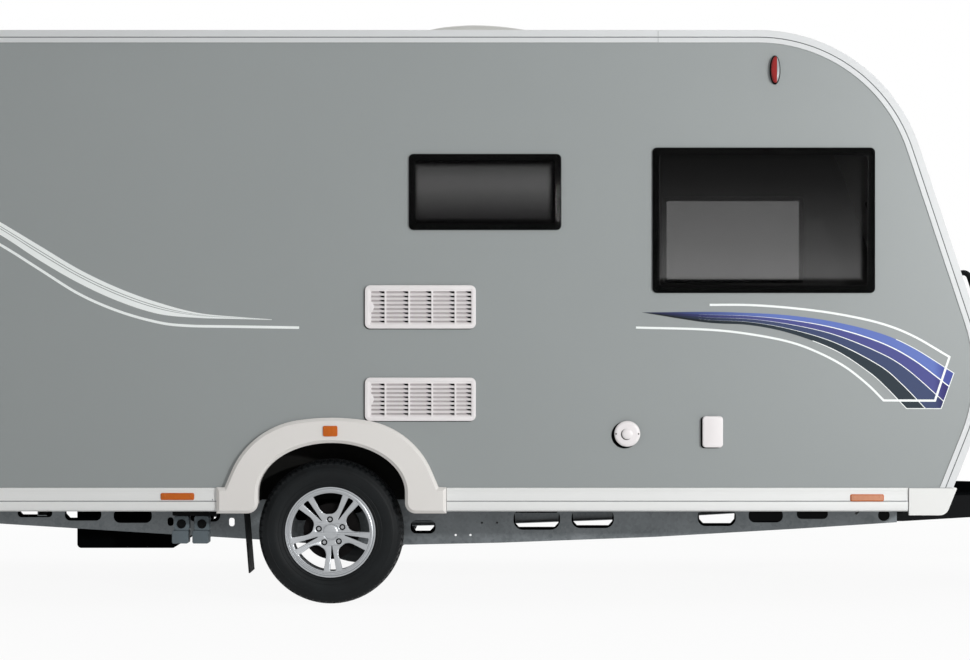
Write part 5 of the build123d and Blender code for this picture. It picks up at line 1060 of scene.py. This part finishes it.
# Bands of the fan, from the top: name, colour at the tip, in its length and at the end
BANDS = (
    ("bright_blue_vinyl", "23284a", "6073b6", "454f98"),
    ("violet_blue_vinyl", "1b1f3a", "4a4d89", "342f6c"),
    ("slate_blue_vinyl", "141a28", "3b4668", "26245a"),
    ("dark_slate_vinyl", "06090d", "263139", "090d13"),
)
BAND_STATIONS = (on_wall(642, 0).x, on_wall(790, 0).x, on_wall(932, 0).x, on_wall(946, 0).x)
band_finishes = []
for name, tip_code, full_code, end_code in BANDS:
    vinyl, tree, shader = finish(name, full_code, 0.3, {"Specular IOR Level": 0.2})
    along = object_place(tree, "X")
    printed = tip_code
    for code, start, stop in ((full_code, *BAND_STATIONS[:2]), (end_code, *BAND_STATIONS[2:])):
        ripen = mapped(tree, along, {"From Min": start * MM, "From Max": stop * MM}, smooth=True)
        printed = blended(tree, ripen, printed, code)
    tree.links.new(printed, shader.inputs["Base Color"])
    band_finishes.append(vinyl)
print("vinyls:", white_vinyl.name, [vinyl.name for vinyl in band_finishes])

# %% [markdown]
# The fan starts in one tip under the window and opens into four bands. Thin white lines part them, and a
# wider one runs round the whole. They lie on top of one another, half a millimetre each, so that no two
# films share a face.

# %% Front fan
# Edges of the four bands, top edge first, from the tip to the end: picture pixels
FAN_TIP = (641.9, 312.4)
FAN_EDGES = (
    ((705.9, 311.8), (749.3, 312.9), (790.0, 315.4), (834.6, 321.8), (879.3, 332.9), (912.8, 347.4),
     (954.1, 373.1)),
    ((705.9, 314.6), (749.3, 316.0), (790.0, 319.9), (834.6, 327.9), (879.3, 341.9), (912.8, 359.2),
     (949.0, 386.2)),
    ((705.9, 317.2), (749.3, 319.0), (790.0, 324.3), (834.6, 334.6), (879.3, 352.5), (907.2, 369.2),
     (943.6, 401.0)),
    ((705.9, 319.7), (749.3, 322.0), (790.0, 329.0), (834.6, 342.4), (879.3, 365.3), (901.6, 383.7),
     (925.6, 408.5)),
    ((705.9, 322.4), (749.3, 325.0), (790.0, 333.2), (834.6, 349.9), (868.1, 371.4), (886.0, 387.1),
     (906.6, 408.5)),
)
FAN_CORNER = (941.3, 408.6)
FAN_LINES = (5.0, 3.6, 3.6)
FAN_LINE_FROM = 7  # a dividing line starts this many steps from the tip
FAN_LINE_TAPER = 28  # and has its full width this many steps on
BORDER_FROM = (44, 28)  # steps from the tip at which the border starts along the top and the lowest edge
edges = [wall_curve((FAN_TIP, *row)) for row in FAN_EDGES]
for number, material in enumerate(band_finishes):
    upper, lower = list(edges[number]), list(edges[number + 1])
    if number == 2:
        upper.append(upper[-1])
        lower.append(on_wall(*FAN_CORNER))
    band = ribbon(upper, lower)
    for side_name, side in SIDES:
        fit(f"fan_band_{number + 1}_{side_name}", [mirror_to(band.copy(), -side)], material)
lines = [
    ribbon(*line_edges(edge[FAN_LINE_FROM:], width, FAN_LINE_TAPER), VINYL)
    for edge, width in zip(edges[1:4], FAN_LINES)
]
border = edges[0][BORDER_FROM[0]:] + [on_wall(*FAN_CORNER)] + list(reversed(edges[4][BORDER_FROM[1]:]))
lines.append(ribbon(*line_edges(border, FAN_LINES[1]), VINYL))

# Outline round the fan, one line from its upper start to its lower start: picture pixels
OUTLINE_TOP = (
    (709.7, 304.8), (749.3, 305.0), (790.0, 307.8), (834.6, 313.4), (879.3, 322.9), (912.8, 335.7),
    (949.6, 356.9),
)
OUTLINE_CORNER = (935.1, 400.6)
OUTLINE_LOW = (
    (883.8, 400.4), (868.1, 384.8), (845.8, 367.2), (820.0, 353.2), (790.0, 342.0), (749.3, 334.0),
    (705.9, 329.5), (636.0, 327.5),
)
OUTLINE_WIDTH = 10.0
outline = wall_curve(OUTLINE_TOP) + [on_wall(*OUTLINE_CORNER)] + wall_curve(OUTLINE_LOW)
lines.append(ribbon(*line_edges(outline, OUTLINE_WIDTH), 2 * VINYL))
print("fan:", len(band_finishes), "bands a side and", len(lines), "white lines")

# %% [markdown]
# The swoosh comes over the rear edge and runs down to the vents: three white stripes that close up in a
# point, and a single line under them. The left side has the mirror image. There the rear window lies in its
# way, so the film is cut along the window's frame in a step of its own.

# %% Rear swoosh
# Its upper and lower edges and the single line under it: picture pixels, from the rear forward
SWOOSH_TOP = (
    (-190.0, 122.0), (-120.0, 155.0), (-60.0, 187.0), (0.0, 221.9), (39.5, 245.6), (79.1, 269.3),
    (118.6, 288.1), (158.2, 302.5), (197.7, 312.8), (237.2, 316.8), (271.8, 319.3),
)
SWOOSH_LOW = (
    (-190.0, 138.0), (-120.0, 170.0), (-60.0, 201.0), (0.0, 234.7), (39.5, 260.4), (79.1, 283.2),
    (118.6, 301.3), (158.2, 313.8), (197.7, 317.8), (237.2, 318.9), (271.8, 319.8),
)
SWOOSH_LINE = (
    (-190.0, 152.0), (-120.0, 183.0), (-60.0, 212.0), (0.0, 244.6), (39.5, 269.3), (79.1, 294.0),
    (118.6, 311.2), (158.2, 322.3), (187.8, 325.7), (237.2, 326.6), (299.1, 327.6),
)
SWOOSH_SHARES = ((0.0, 0.31), (0.37, 0.49), (0.55, 1.0))  # the three stripes across the swoosh
SWOOSH_LINE_WIDTH = 12.0
top_edge, low_edge = wall_curve(SWOOSH_TOP), wall_curve(SWOOSH_LOW)
for shares in SWOOSH_SHARES:
    stripe = [[a.lerp(b, share) for a, b in zip(top_edge, low_edge)] for share in shares]
    lines.append(ribbon(*stripe))
lines.append(ribbon(*line_edges(wall_curve(SWOOSH_LINE), SWOOSH_LINE_WIDTH)))
white_lines = join(lines, "white_stripes")
print("white lines on a side:", len(lines))

# %% [markdown]
# A mesh is cut by planes, and each cut is closed again, so the film stays a solid. Four copies of the left
# film are cut: what lies behind the window, ahead of it, above it and below it. Together they go round it.

# %% White stripes
# On the left the swoosh meets the rear window, so it is cut away where the frame covers the wall
CUT_X = (-2825.0, -1955.0)
CUT_Z = (1527.0, 1997.0)


def clipped(mesh, planes):
    """Copy of a mesh without what lies past some planes, each a place in mm and the way that is cut off."""
    shape = bmesh.new()
    shape.from_mesh(mesh)
    for spot, away in planes:
        everything = shape.verts[:] + shape.edges[:] + shape.faces[:]
        cut = bmesh.ops.bisect_plane(
            shape, geom=everything, plane_co=Vector(spot) * MM, plane_no=Vector(away), clear_outer=True,
        )
        edges = [item for item in cut["geom_cut"] if isinstance(item, bmesh.types.BMEdge)]
        bmesh.ops.holes_fill(shape, edges=edges, sides=0)
    return to_mesh("clipped", shape)


def cut_at(axis, place, way):
    """Plane across an axis, which cuts off what lies on one side."""
    unit = Vector([float(number == axis) for number in range(3)])
    return unit * place, unit * way


between = (cut_at(0, CUT_X[0], -1), cut_at(0, CUT_X[1], 1))
left_cuts = (
    (cut_at(0, CUT_X[0], 1),), (cut_at(0, CUT_X[1], -1),), between + (cut_at(2, CUT_Z[1], -1),),
    between + (cut_at(2, CUT_Z[0], 1),),
)
left_lines = mirror_to(white_lines.copy(), -1)
fit("white_stripes_right", [white_lines], white_vinyl)
fit("white_stripes_left", [clipped(left_lines, planes) for planes in left_cuts], white_vinyl)
print("white stripes on both sides, the left ones in", len(left_cuts), "cuts")

# %% [markdown]
# The fittings of the wall are moulded plates and pressed strips. Five helpers build them, all on the right
# side: a plate with holes and soft edges, a plain pad, a strip of one section, a turned knob, and a mirrored
# pair. A pad is a row of a table: its box and corner radius, its place, and then three depths, which are how
# far its front lies from the caravan's middle, its thickness and its bevel.

# %% Fitting helpers


def rounded_outline(x_from, x_to, z_from, z_to, radius, steps=6):
    """Rectangle with round corners, as corner points."""
    points = []
    for x, z, start in (
        (x_to - radius, z_to - radius, 0), (x_from + radius, z_to - radius, 90),
        (x_from + radius, z_from + radius, 180), (x_to - radius, z_from + radius, 270),
    ):
        for step in range(steps + 1):
            points.append(Vector((x, z)) + polar(radius, start + 90 * step / steps))
    return points


def wall_plate(name, outlines, x, z, out_y, thick, bevel):
    """Plate whose front lies out_y from the caravan's middle, in place on the right side."""
    shape = cut_plate(name, outlines, thick, bevel)
    for vert in shape.verts:
        local = vert.co.copy()
        vert.co = Vector((x + local.x, -(out_y - thick / 2 + local.z), z + local.y)) * MM
    return to_mesh(name, shape)


def pad(box, place, depths, x=0.0, z=0.0):
    """Plate with round corners. Its place counts from x and z."""
    return wall_plate("pad", (rounded_outline(*box),), x + place[0], z + place[1], *depths)


def prism(name, section, x_from, x_to):
    """Strip along the caravan. Its section is given as distances from the middle and heights."""
    shape = bmesh.new()
    loft(shape, *([shape.verts.new((x * MM, -y * MM, z * MM)) for y, z in section] for x in (x_from, x_to)))
    return to_mesh(name, shape)


def knob(name, profile, x, z, steps=40):
    """Turned part on the right side. Its profile is radii and distances from the middle."""
    mesh = mirror_to(to_mesh(name, spin_profile(profile, steps)), -1)
    mesh.transform(Matrix.Translation(Vector((x - AXLE_X, 0, z - TYRE_R)) * MM))
    return mesh


def with_mirror(meshes):
    """Meshes of the right side, and their mirror images."""
    right = join(meshes, "right")
    return right, mirror_to(right.copy(), -1)


print("helpers:", [helper.__name__ for helper in (wall_plate, pad, prism, knob, with_mirror)])

# %% [markdown]
# The two vents are louvred. A frame with a soft edge holds a grid of ribs, and between the ribs lean eight
# rows of blades, so that rain runs off. A black wedge in the right end of each slot is the rib's painted
# shadow, and a black pad set off left and down behind each vent is its painted shadow. The grey lining
# behind the blades is partly painted shade of the gaps.

# %% Vents
VENT_X = AXLE_X + 416.0
VENT_HEIGHTS = (1367.0, 946.0)
VENT_OUTER = (-253.0, 253.0, -99.0, 99.0, 25.0)
VENT_FIELD = (-232.0, 234.0, -79.0, 79.0, 5.0)
VENT_BACK = (-236.0, 238.0, -82.0, 82.0, 5.0)
VENT_HOLE = (-75.5, 71.5, 2.5)
VENT_COLUMNS = ((-224.0, -163.0), (-155.0, -55.0), (-47.0, 50.0), (58.0, 156.0), (164.0, 232.0))
VENT_ROWS = 8
VENT_PITCH = 19.0
VENT_TOP_ROW = VENT_PITCH * (VENT_ROWS - 1) / 2
BLADE = (
    (1161.2, -15.0), (1161.6, -13.4), (1160.2, -12.0), (1154.0, -4.4), (1152.6, -4.4), (1152.6, -6.4),
    (1159.0, -15.0),
)
BLADE_OVERLAP = 1.0
LATCH_X = -234.0
LATCH_HALF = (22.0, 29.0)
SHADOW_WEDGE_LONG = 26.0
SHADOW_WEDGE_BEND = 0.45
SHADOW_WEDGE_GAP = 0.5
# Black pad behind each vent, set off left and down: its painted shadow.
VENT_SHADOW_PAD = (VENT_OUTER, (VENT_X - 4.0, -3.0), (1152.2, 2.0, 0.3))
# Depths: how far the front lies from the caravan's middle, thickness, bevel
FRAME_DEPTHS = (1164.0, 13.6, 3.0)
GRID_DEPTHS = (1161.8, 10.0, 0.6)
BACK_DEPTHS = (1152.4, 2.0, 0.2)
LATCH_DEPTHS = (1163.0, 4.0, 1.2)
SHADOW_WEDGE_DEPTHS = (1154.4, 1.6, 0.1)
vent_parts = []
vent_backs = []
vent_shadow_wedges = []
rows = {"Copies": VENT_ROWS, "Step": Vector((0, 0, -VENT_PITCH)) * MM, "Material": white_abs}
for z in VENT_HEIGHTS:
    frame_rings = (rounded_outline(*VENT_OUTER), rounded_outline(*VENT_FIELD))
    vent_parts.append(wall_plate("vent_frame", frame_rings, VENT_X, z, *FRAME_DEPTHS))
    holes = [rounded_outline(*column, *VENT_HOLE) for column in VENT_COLUMNS]
    field = rounded_outline(*VENT_BACK)
    vent_parts.append(wall_plate("vent_grid", [field] + holes, VENT_X, z, *GRID_DEPTHS))
    vent_backs.append(wall_plate("vent_back", (field,), VENT_X, z, *BACK_DEPTHS))
    angles = [radians(degrees) for degrees in range(-90, 91, 15)]
    tab = [Vector((LATCH_X + LATCH_HALF[0] * cos(a), LATCH_HALF[1] * sin(a))) for a in angles]
    vent_parts.append(wall_plate("vent_latch", (tab,), VENT_X, z, *LATCH_DEPTHS))
    for x_from, x_to in VENT_COLUMNS:
        section = [(y, z + VENT_TOP_ROW + rise) for y, rise in BLADE]
        blade = prism("vent_blade", section, VENT_X + x_from - BLADE_OVERLAP, VENT_X + x_to + BLADE_OVERLAP)
        vent_parts.append(run_tree("vent_blades", blade, stepped_copies, rows))
        # A black wedge at the right end of each slot: the rib's painted shadow.
        right = x_to - SHADOW_WEDGE_GAP
        wedge = [
            Vector((right - SHADOW_WEDGE_LONG, 4.6)), Vector((right - SHADOW_WEDGE_LONG * SHADOW_WEDGE_BEND, -3.4)),
            Vector((right, -4.2)), Vector((right, 5.2)),
        ]
        throat = wall_plate("vent_shadow_wedge", (wedge,), VENT_X, z + VENT_TOP_ROW, *SHADOW_WEDGE_DEPTHS)
        vent_shadow_wedges.append(run_tree("shadow_wedges", throat, stepped_copies, {**rows, "Material": dull_black}))
vents = fit("louvred_vents", vent_parts, white_abs)
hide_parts("fridge_vents")
# The lining's grey is partly painted shade.
fit("vent_linings", vent_backs, vent_lining_shade_grey)
fit("vent_shadow_wedges", vent_shadow_wedges, dull_black)
seals_and_shadows = [pad(*VENT_SHADOW_PAD, 0.0, z) for z in VENT_HEIGHTS]
print("vents:", len(vents.data.polygons), "faces")

# %% [markdown]
# The flue cap stands off the wall on a black neck, with a boss in its middle and two screws. The water inlet
# has a plain cover with soft edges. Black shapes set off to the left and down behind the cap, its boss and
# the cover are their painted shadows.

# %% Flue cap and inlet cover
FLUE = (469.0, 789.0)
INLET_BOX = (-46.5, 46.5, -71.5, 71.5, 16.0)
INLET_COVER = (INLET_BOX, (858.0, 798.0), (1176.0, 24.0, 5.0))
# Black pad behind the cover, set off left and down: its painted shadow.
INLET_SHADOW_PAD = (INLET_BOX, (851.0, 794.5), (1152.8, 2.6, 0.4))
FLUE_CAP = (
    (0, 1176.0), (43.0, 1176.0), (50.0, 1175.4), (56.0, 1173.0), (58.6, 1169.5), (59.0, 1166.0),
    (58.0, 1164.0), (0, 1164.0),
)
FLUE_BOSS = ((0, 1184.6), (14.0, 1184.3), (21.0, 1182.4), (24.4, 1179.0), (25.0, 1175.5), (0, 1175.5))
FLUE_NECK = ((0, 1164.4), (52.0, 1164.4), (54.0, 1158.0), (56.0, 1150.2), (0, 1150.2))
# A black disc behind the cap and a dark ring under the boss, both set off left and down, are painted
# shadows.
FLUE_SHADOW_RIM = ((0, 1152.6), (59.0, 1152.6), (60.5, 1151.6), (60.5, 1150.2), (0, 1150.2))
BOSS_SHADOW = ((0, 1176.9), (24.8, 1176.9), (25.6, 1176.4), (25.6, 1175.5), (0, 1175.5))
CAP_SCREW = ((0, 1176.2), (2.4, 1176.1), (3.6, 1175.6), (3.6, 1174.6), (0, 1174.6))
CAP_SCREWS = ((418.0, 789.0), (520.0, 789.0))
FLUE_SHADOW_PLACE = (458.0, 782.0)
BOSS_SHADOW_PLACE = (465.4, 786.8)
white_parts = [knob("cap", FLUE_CAP, *FLUE, 64), knob("boss", FLUE_BOSS, *FLUE, 48), pad(*INLET_COVER)]
fittings = fit("flue_and_inlet", white_parts, white_abs)
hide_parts("wall_fittings")
# The neck and the screws are real; the offset disc, pad and ring are painted shadows.
seals_and_shadows += [
    knob("neck", FLUE_NECK, *FLUE, 48), knob("seal", FLUE_SHADOW_RIM, *FLUE_SHADOW_PLACE, 64), pad(*INLET_SHADOW_PAD),
    knob("boss_shadow", BOSS_SHADOW, *BOSS_SHADOW_PLACE, 48),
]
seals_and_shadows += [knob("screw", CAP_SCREW, *place, 16) for place in CAP_SCREWS]
fit("fitting_seals_and_painted_shadows", seals_and_shadows, dull_black)
print("cap and cover:", len(fittings.data.polygons), "faces, seals:", len(seals_and_shadows))

# %% [markdown]
# The skirts are extrusions with a rolled top edge, a flat band, a narrow groove and a rounded lower band.
# Small screws hold their ends.

# %% Skirts
SKIRT_SECTION = (
    (1150.2, 543.0), (1156.5, 543.0), (1159.5, 541.5), (1160.6, 538.5), (1160.6, 533.0), (1159.4, 530.0),
    (1158.6, 526.0), (1158.4, 511.0), (1159.2, 509.5), (1159.2, 484.0), (1156.9, 482.8), (1156.9, 479.8),
    (1160.4, 478.2), (1161.7, 474.0), (1162.0, 466.0), (1161.8, 452.0), (1160.2, 443.0), (1156.5, 437.0),
    (1150.0, 434.3), (1124.0, 434.0), (1124.0, 438.0), (1150.2, 438.0),
)
SKIRT_SPANS = ((-3373.0, -1403.0), (-353.0, 1750.0))
SKIRT_SCREWS = ((-1420.0, 488.5), (-377.8, 488.5), (1742.0, 481.0))
SCREW_HEAD = ((0, 1160.8), (2.2, 1160.7), (3.6, 1159.9), (3.9, 1158.8), (0, 1158.8))
strips = [prism("skirt", SKIRT_SECTION, *span) for span in SKIRT_SPANS]
skirts = fit("profiled_skirts", with_mirror(strips), skirt_white, radians(22))
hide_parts("body_skirts")
screws = [knob("screw", SCREW_HEAD, *place, 16) for place in SKIRT_SCREWS]
fit("skirt_screws", with_mirror(screws), bright_steel)
print("skirts:", len(skirts.data.polygons), "faces, screws:", 2 * len(screws))

# %% [markdown]
# Behind the small right window's pane a black panel is painted shade of the room, so nothing of the empty
# cabin shows in it. The two drain boxes under the floor have a wider upper part with a round screw cap, and
# hang from a black bar.

# %% Painted shade panel and drain boxes
# A black panel just behind the small pane: painted shade of the room behind it.
SHADE_PANEL = ((-318.0, 318.0, -143.0, 143.0, 12.0), (-179.0, 1891.0), (1173.7, 0.8, 0.1))
DRAINS = (-1601.0, -1506.0)
DRAIN_BAR = ((-99.0, 102.0, -19.5, 19.5, 6.0), (-1539.0, 417.5), (928.0, 60.0, 2.0))
DRAIN_BOX = (
    ((-38.0, 38.0, -30.5, 30.5, 8.0), (0.0, 299.5), (938.0, 76.0, 3.0)),
    ((-34.0, 36.0, -34.0, 34.0, 10.0), (4.0, 363.0), (931.0, 62.0, 3.0)),
)
DRAIN_CAP_PLACE = (6.0, 360.0)
DRAIN_CAP = (
    (0, 935.0), (13.0, 935.5), (15.0, 937.5), (19.0, 937.5), (21.0, 935.0), (21.0, 928.0), (0, 928.0),
)
fit("painted_shade_panel", [pad(*SHADE_PANEL)], dull_black)
drain_parts = [pad(*part, x) for x in DRAINS for part in DRAIN_BOX]
drain_caps = [pad(*DRAIN_BAR)]
drain_caps += [knob("drain_cap", DRAIN_CAP, x + DRAIN_CAP_PLACE[0], DRAIN_CAP_PLACE[1]) for x in DRAINS]
drains = fit("drain_boxes_moulded", drain_parts, grey_abs)
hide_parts("drain_boxes")
fit("drain_caps", drain_caps, satin_black)
print("drain boxes:", len(DRAINS), "with", len(drain_caps), "caps and bars")

# %% [markdown]
# A rubber bead seals each pane against its frame. It is round and shiny, so it draws a thin bright line.

# %% Window beads
bead_rubber, tree, shader = finish("shiny_rubber_bead", "060607", 0.16, {"Specular IOR Level": 0.5})
polish(tree, shader, 0.12, 0.22, 60.0)
RIGHT_WINDOWS = ((1091.5, 1762.0, 1015.0, 663.0), (-179.0, 1891.0, 695.0, 347.0))
LEFT_WINDOWS = ((1150.0, 1762.0, 800.0, 500.0), (-2390.0, 1762.0, 900.0, 500.0))
BEAD_RINGS = ((29.0, 14.0), (35.0, 9.0))  # how far in from the window's edge, and corner radius
BEAD_DEPTHS = (1162.0, 6.0, 2.9)


def window_bead(x, z, wide, high):
    """Round bead along a window's pane."""
    rings = []
    for inset, radius in BEAD_RINGS:
        half_x, half_z = wide / 2 - inset, high / 2 - inset
        rings.append(rounded_outline(-half_x, half_x, -half_z, half_z, radius))
    return wall_plate("bead", rings, x, z, *BEAD_DEPTHS)


beads = [window_bead(*window) for window in RIGHT_WINDOWS]
beads += [mirror_to(window_bead(*window), -1) for window in LEFT_WINDOWS]
fit("window_beads", beads, bead_rubber)
print("beads:", len(beads))

# %% [markdown]
# Behind the slots in the rails runs a dark rim, which narrows each opening. A black plate on each rail
# behind the wheel is painted shade, so the wheel's openings show dark there.

# %% Rail slot rims and shade plates
RAIL_SLOTS = (
    (345.0, 465.0, 288.0, 352.0), (838.0, 1061.0, 306.0, 408.0), (1116.0, 1319.0, 314.0, 408.0),
    (1720.0, 1903.0, 324.0, 408.0), (1964.0, 2128.0, 341.0, 408.0), (2195.0, 2344.0, 358.0, 408.0),
    (-1077.0, -894.0, 339.0, 408.0), (-1311.0, -1136.0, 350.0, 408.0), (-1537.0, -1371.0, 366.0, 408.0),
    (-716.0, -567.0, 345.0, 408.0),
)
SLOT_RIM_EDGE = 6.0
SLOT_RIM_DEPTHS = (594.0, 2.0, 0.2)
# Painted shade: a black plate on the rail behind each wheel.
WHEEL_SHADE_PLATE = ((-205.0, 205.0, -97.0, 97.0, 20.0), (0.0, 449.0), (609.0, 3.0, 0.4))
dark_rims_and_plates = []
for x_from, x_to, low, high in RAIL_SLOTS:
    middle, half = AXLE_X + (x_from + x_to) / 2, (x_to - x_from) / 2
    outer = rounded_outline(-half - SLOT_RIM_EDGE, half + SLOT_RIM_EDGE, low - SLOT_RIM_EDGE, high + 4.0, 10.0)
    flank = ((half - 5.0, high - 3.0), (half - 8.0, low + 34.0), (half - 26.0, low + 14.0))
    inner = [Vector((-x, z)) for x, z in flank] + [Vector(corner) for corner in reversed(flank)]
    dark_rims_and_plates.append(wall_plate("dark_slot_rim", (outer, inner), middle, 0.0, *SLOT_RIM_DEPTHS))
dark_rims_and_plates.append(pad(*WHEEL_SHADE_PLATE, AXLE_X))
fit("rail_slot_rims_and_shade_plates", with_mirror(dark_rims_and_plates), dull_black)
print("liners and shade plates a side:", len(dark_rims_and_plates))

# %% [markdown]
# Side lamps are amber lenses with soft edges on a flat base, with a small round eye at each end. The
# reflectors over the wheels are plain amber blocks.

# %% Side lamps and reflectors
SIDE_LAMPS = ((1562.0, 497.0, "faded_amber_lens"), (-1581.0, 503.0, "amber_lens"))
LAMP_BASE = ((-76.5, 76.5, -16.0, 16.0, 7.0), (0.0, 0.0), (1161.6, 3.2, 0.6))
LAMP_LENS = ((-73.0, 73.0, -12.5, 12.5, 5.0), (0.0, 0.0), (1167.0, 7.0, 2.6))
LAMP_EYES = ((-58.0, 3.0), (58.0, 3.0))
EYE = ((0, 1168.4), (3.4, 1168.0), (5.6, 1166.4), (5.6, 1165.0), (0, 1165.0))
REFLEX = ((-33.0, 33.0, -24.0, 24.0, 7.0), (8.0, 802.0), (1194.0, 6.0, 2.4))
amber = lenses["amber_lens"]
lamp_bases = []
for x, z, style in SIDE_LAMPS:
    lamp_bases.append(pad(*LAMP_BASE, x, z))
    blocks = [pad(*LAMP_LENS, x, z)]
    blocks += [knob("lens_eye", EYE, x + offset, z + rise, 20) for offset, rise in LAMP_EYES]
    fit(f"lens_{style}", with_mirror(blocks), lenses[style])
bases = fit("side_lamp_bases", with_mirror(lamp_bases), amber)
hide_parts("side_lamps")
reflex = fit("arch_reflex", with_mirror([pad(*REFLEX, AXLE_X)]), amber)
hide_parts("arch_reflectors")
print("side lamps:", bases.name, reflex.name)

# %% [markdown]
# The outline lamps high on the front are ovals that stand off the wall, in a rim. The rim is black all
# round, which paints the shadow that the lamp throws to the rear. Their lens is red towards the rear and
# clear towards the front, so it has a colour on either side of one place.

# %% Outline lamps
OVAL = (1143.0, 2447.0)
OVAL_SPLIT = 1150.0
OVAL_STEP = 10
OVAL_RIM = ((25.0, 66.5), (1160.0, 9.8, 3.4))  # half sizes, then the three depths
OVAL_LENS = ((19.5, 60.5), (1181.0, 24.0, 8.0))


def oval(halves, depths):
    """Oval plate, and its mirror image."""
    angles = [radians(degrees) for degrees in range(0, 360, OVAL_STEP)]
    outline = [Vector((halves[0] * cos(a), halves[1] * sin(a))) for a in angles]
    return with_mirror([wall_plate("oval", (outline,), *OVAL, *depths)])


oval_lens, tree, shader = finish("red_and_clear_lens", "a01414", 0.15, {"Specular IOR Level": 0.3})
front_part = math_node(tree, "GREATER_THAN", object_place(tree, "X"), OVAL_SPLIT * MM)
tree.links.new(blended(tree, front_part, "8c1a1a", "8e9194"), shader.inputs["Base Color"])
# The rims' black paints the lamps' shadow on their rear side.
rims = fit("outline_lamp_rims", oval(*OVAL_RIM), gloss_black)
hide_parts("outline_lamps")
fit("outline_lamp_lenses", oval(*OVAL_LENS), oval_lens)
print("outline lamps:", len(rims.data.polygons), "faces in the rims")

# %% [markdown]
# The roof unit has an arched hood with soft edges. Only its crown shows above the roof's edge from the side.

# %% Roof unit
UNIT_HALF_Y = 318.0
UNIT_LOW = 2626.0
HOOD = (
    (-578.0, UNIT_LOW), (-574.0, 2662.0), (-552.0, 2700.0), (-487.0, 2731.0), (-416.0, 2748.0),
    (-330.0, 2757.0), (-243.0, 2761.0), (-150.0, 2757.0), (-70.0, 2749.0), (35.0, 2731.0), (98.0, 2700.0),
    (118.0, 2662.0), (122.0, UNIT_LOW),
)
HOOD_EDGE = 16.0
arch = smooth_curve([Vector(point) for point in HOOD], 3)
hood_mesh = wall_plate("roof_hood", (arch,), 0.0, 0.0, UNIT_HALF_Y, 2 * UNIT_HALF_Y, HOOD_EDGE)
hood = fit("roof_hood", [hood_mesh], roof_white)
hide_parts("roof_unit")
print("roof unit up to", max(height for along, height in HOOD), "mm")

# %% [markdown]
# The rear lamps are clusters: an amber indicator above, a red tail and brake lamp in the middle, a clear
# reversing lamp below, all in a black housing on the leaning rear wall.

# %% Rear lamps
REAR_LEAN = radians(3.5)
LAMP_Y = 960.0
LAMP_Z = 760.0
LAMP_HALF_HIGH = 165.0
HOUSING = (-95.0, 95.0, -LAMP_HALF_HIGH, LAMP_HALF_HIGH, 16.0)
HOUSING_DEPTHS = (11.0, 10.8, 2.0)
GLASS_HALF = 85.0
GLASS_CORNER = 12.0
GLASS_DEPTHS = (16.0, 8.0, 3.2)
LAMP_OUT = 16.0
lamp_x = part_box("rear_lamps")[0].x / MM + LAMP_OUT * cos(REAR_LEAN) + LAMP_HALF_HIGH * sin(REAR_LEAN)
LAMP_FIELDS = (("amber_lens", 66.0, 152.0), ("red_lens", -62.0, 58.0), ("clear_lens", -152.0, -70.0))


def rear_plate(box, side, out, thick, bevel):
    """Plate on the rear wall, at one side's lamp. Its front lies out from the wall."""
    shape = cut_plate("rear_plate", (rounded_outline(*box),), thick, bevel)
    for vert in shape.verts:
        across, rise, lift = vert.co.x, vert.co.y, vert.co.z + out - thick / 2
        vert.co = Vector((
            lamp_x + rise * sin(REAR_LEAN) - lift * cos(REAR_LEAN), side * LAMP_Y - across,
            LAMP_Z + rise * cos(REAR_LEAN) + lift * sin(REAR_LEAN),
        )) * MM
    return to_mesh("rear_plate", shape)


housings = [rear_plate(HOUSING, side, *HOUSING_DEPTHS) for side in (-1, 1)]
housing = fit("rear_lamp_housings", housings, satin_black)
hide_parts("rear_lamps")
for style, low, high in LAMP_FIELDS:
    box = (-GLASS_HALF, GLASS_HALF, low, high, GLASS_CORNER)
    glass = [rear_plate(box, side, *GLASS_DEPTHS) for side in (-1, 1)]
    fit(f"rear_{style}", glass, lenses[style])
print("rear lamps:", housing.name, "and", len(LAMP_FIELDS), "lenses")
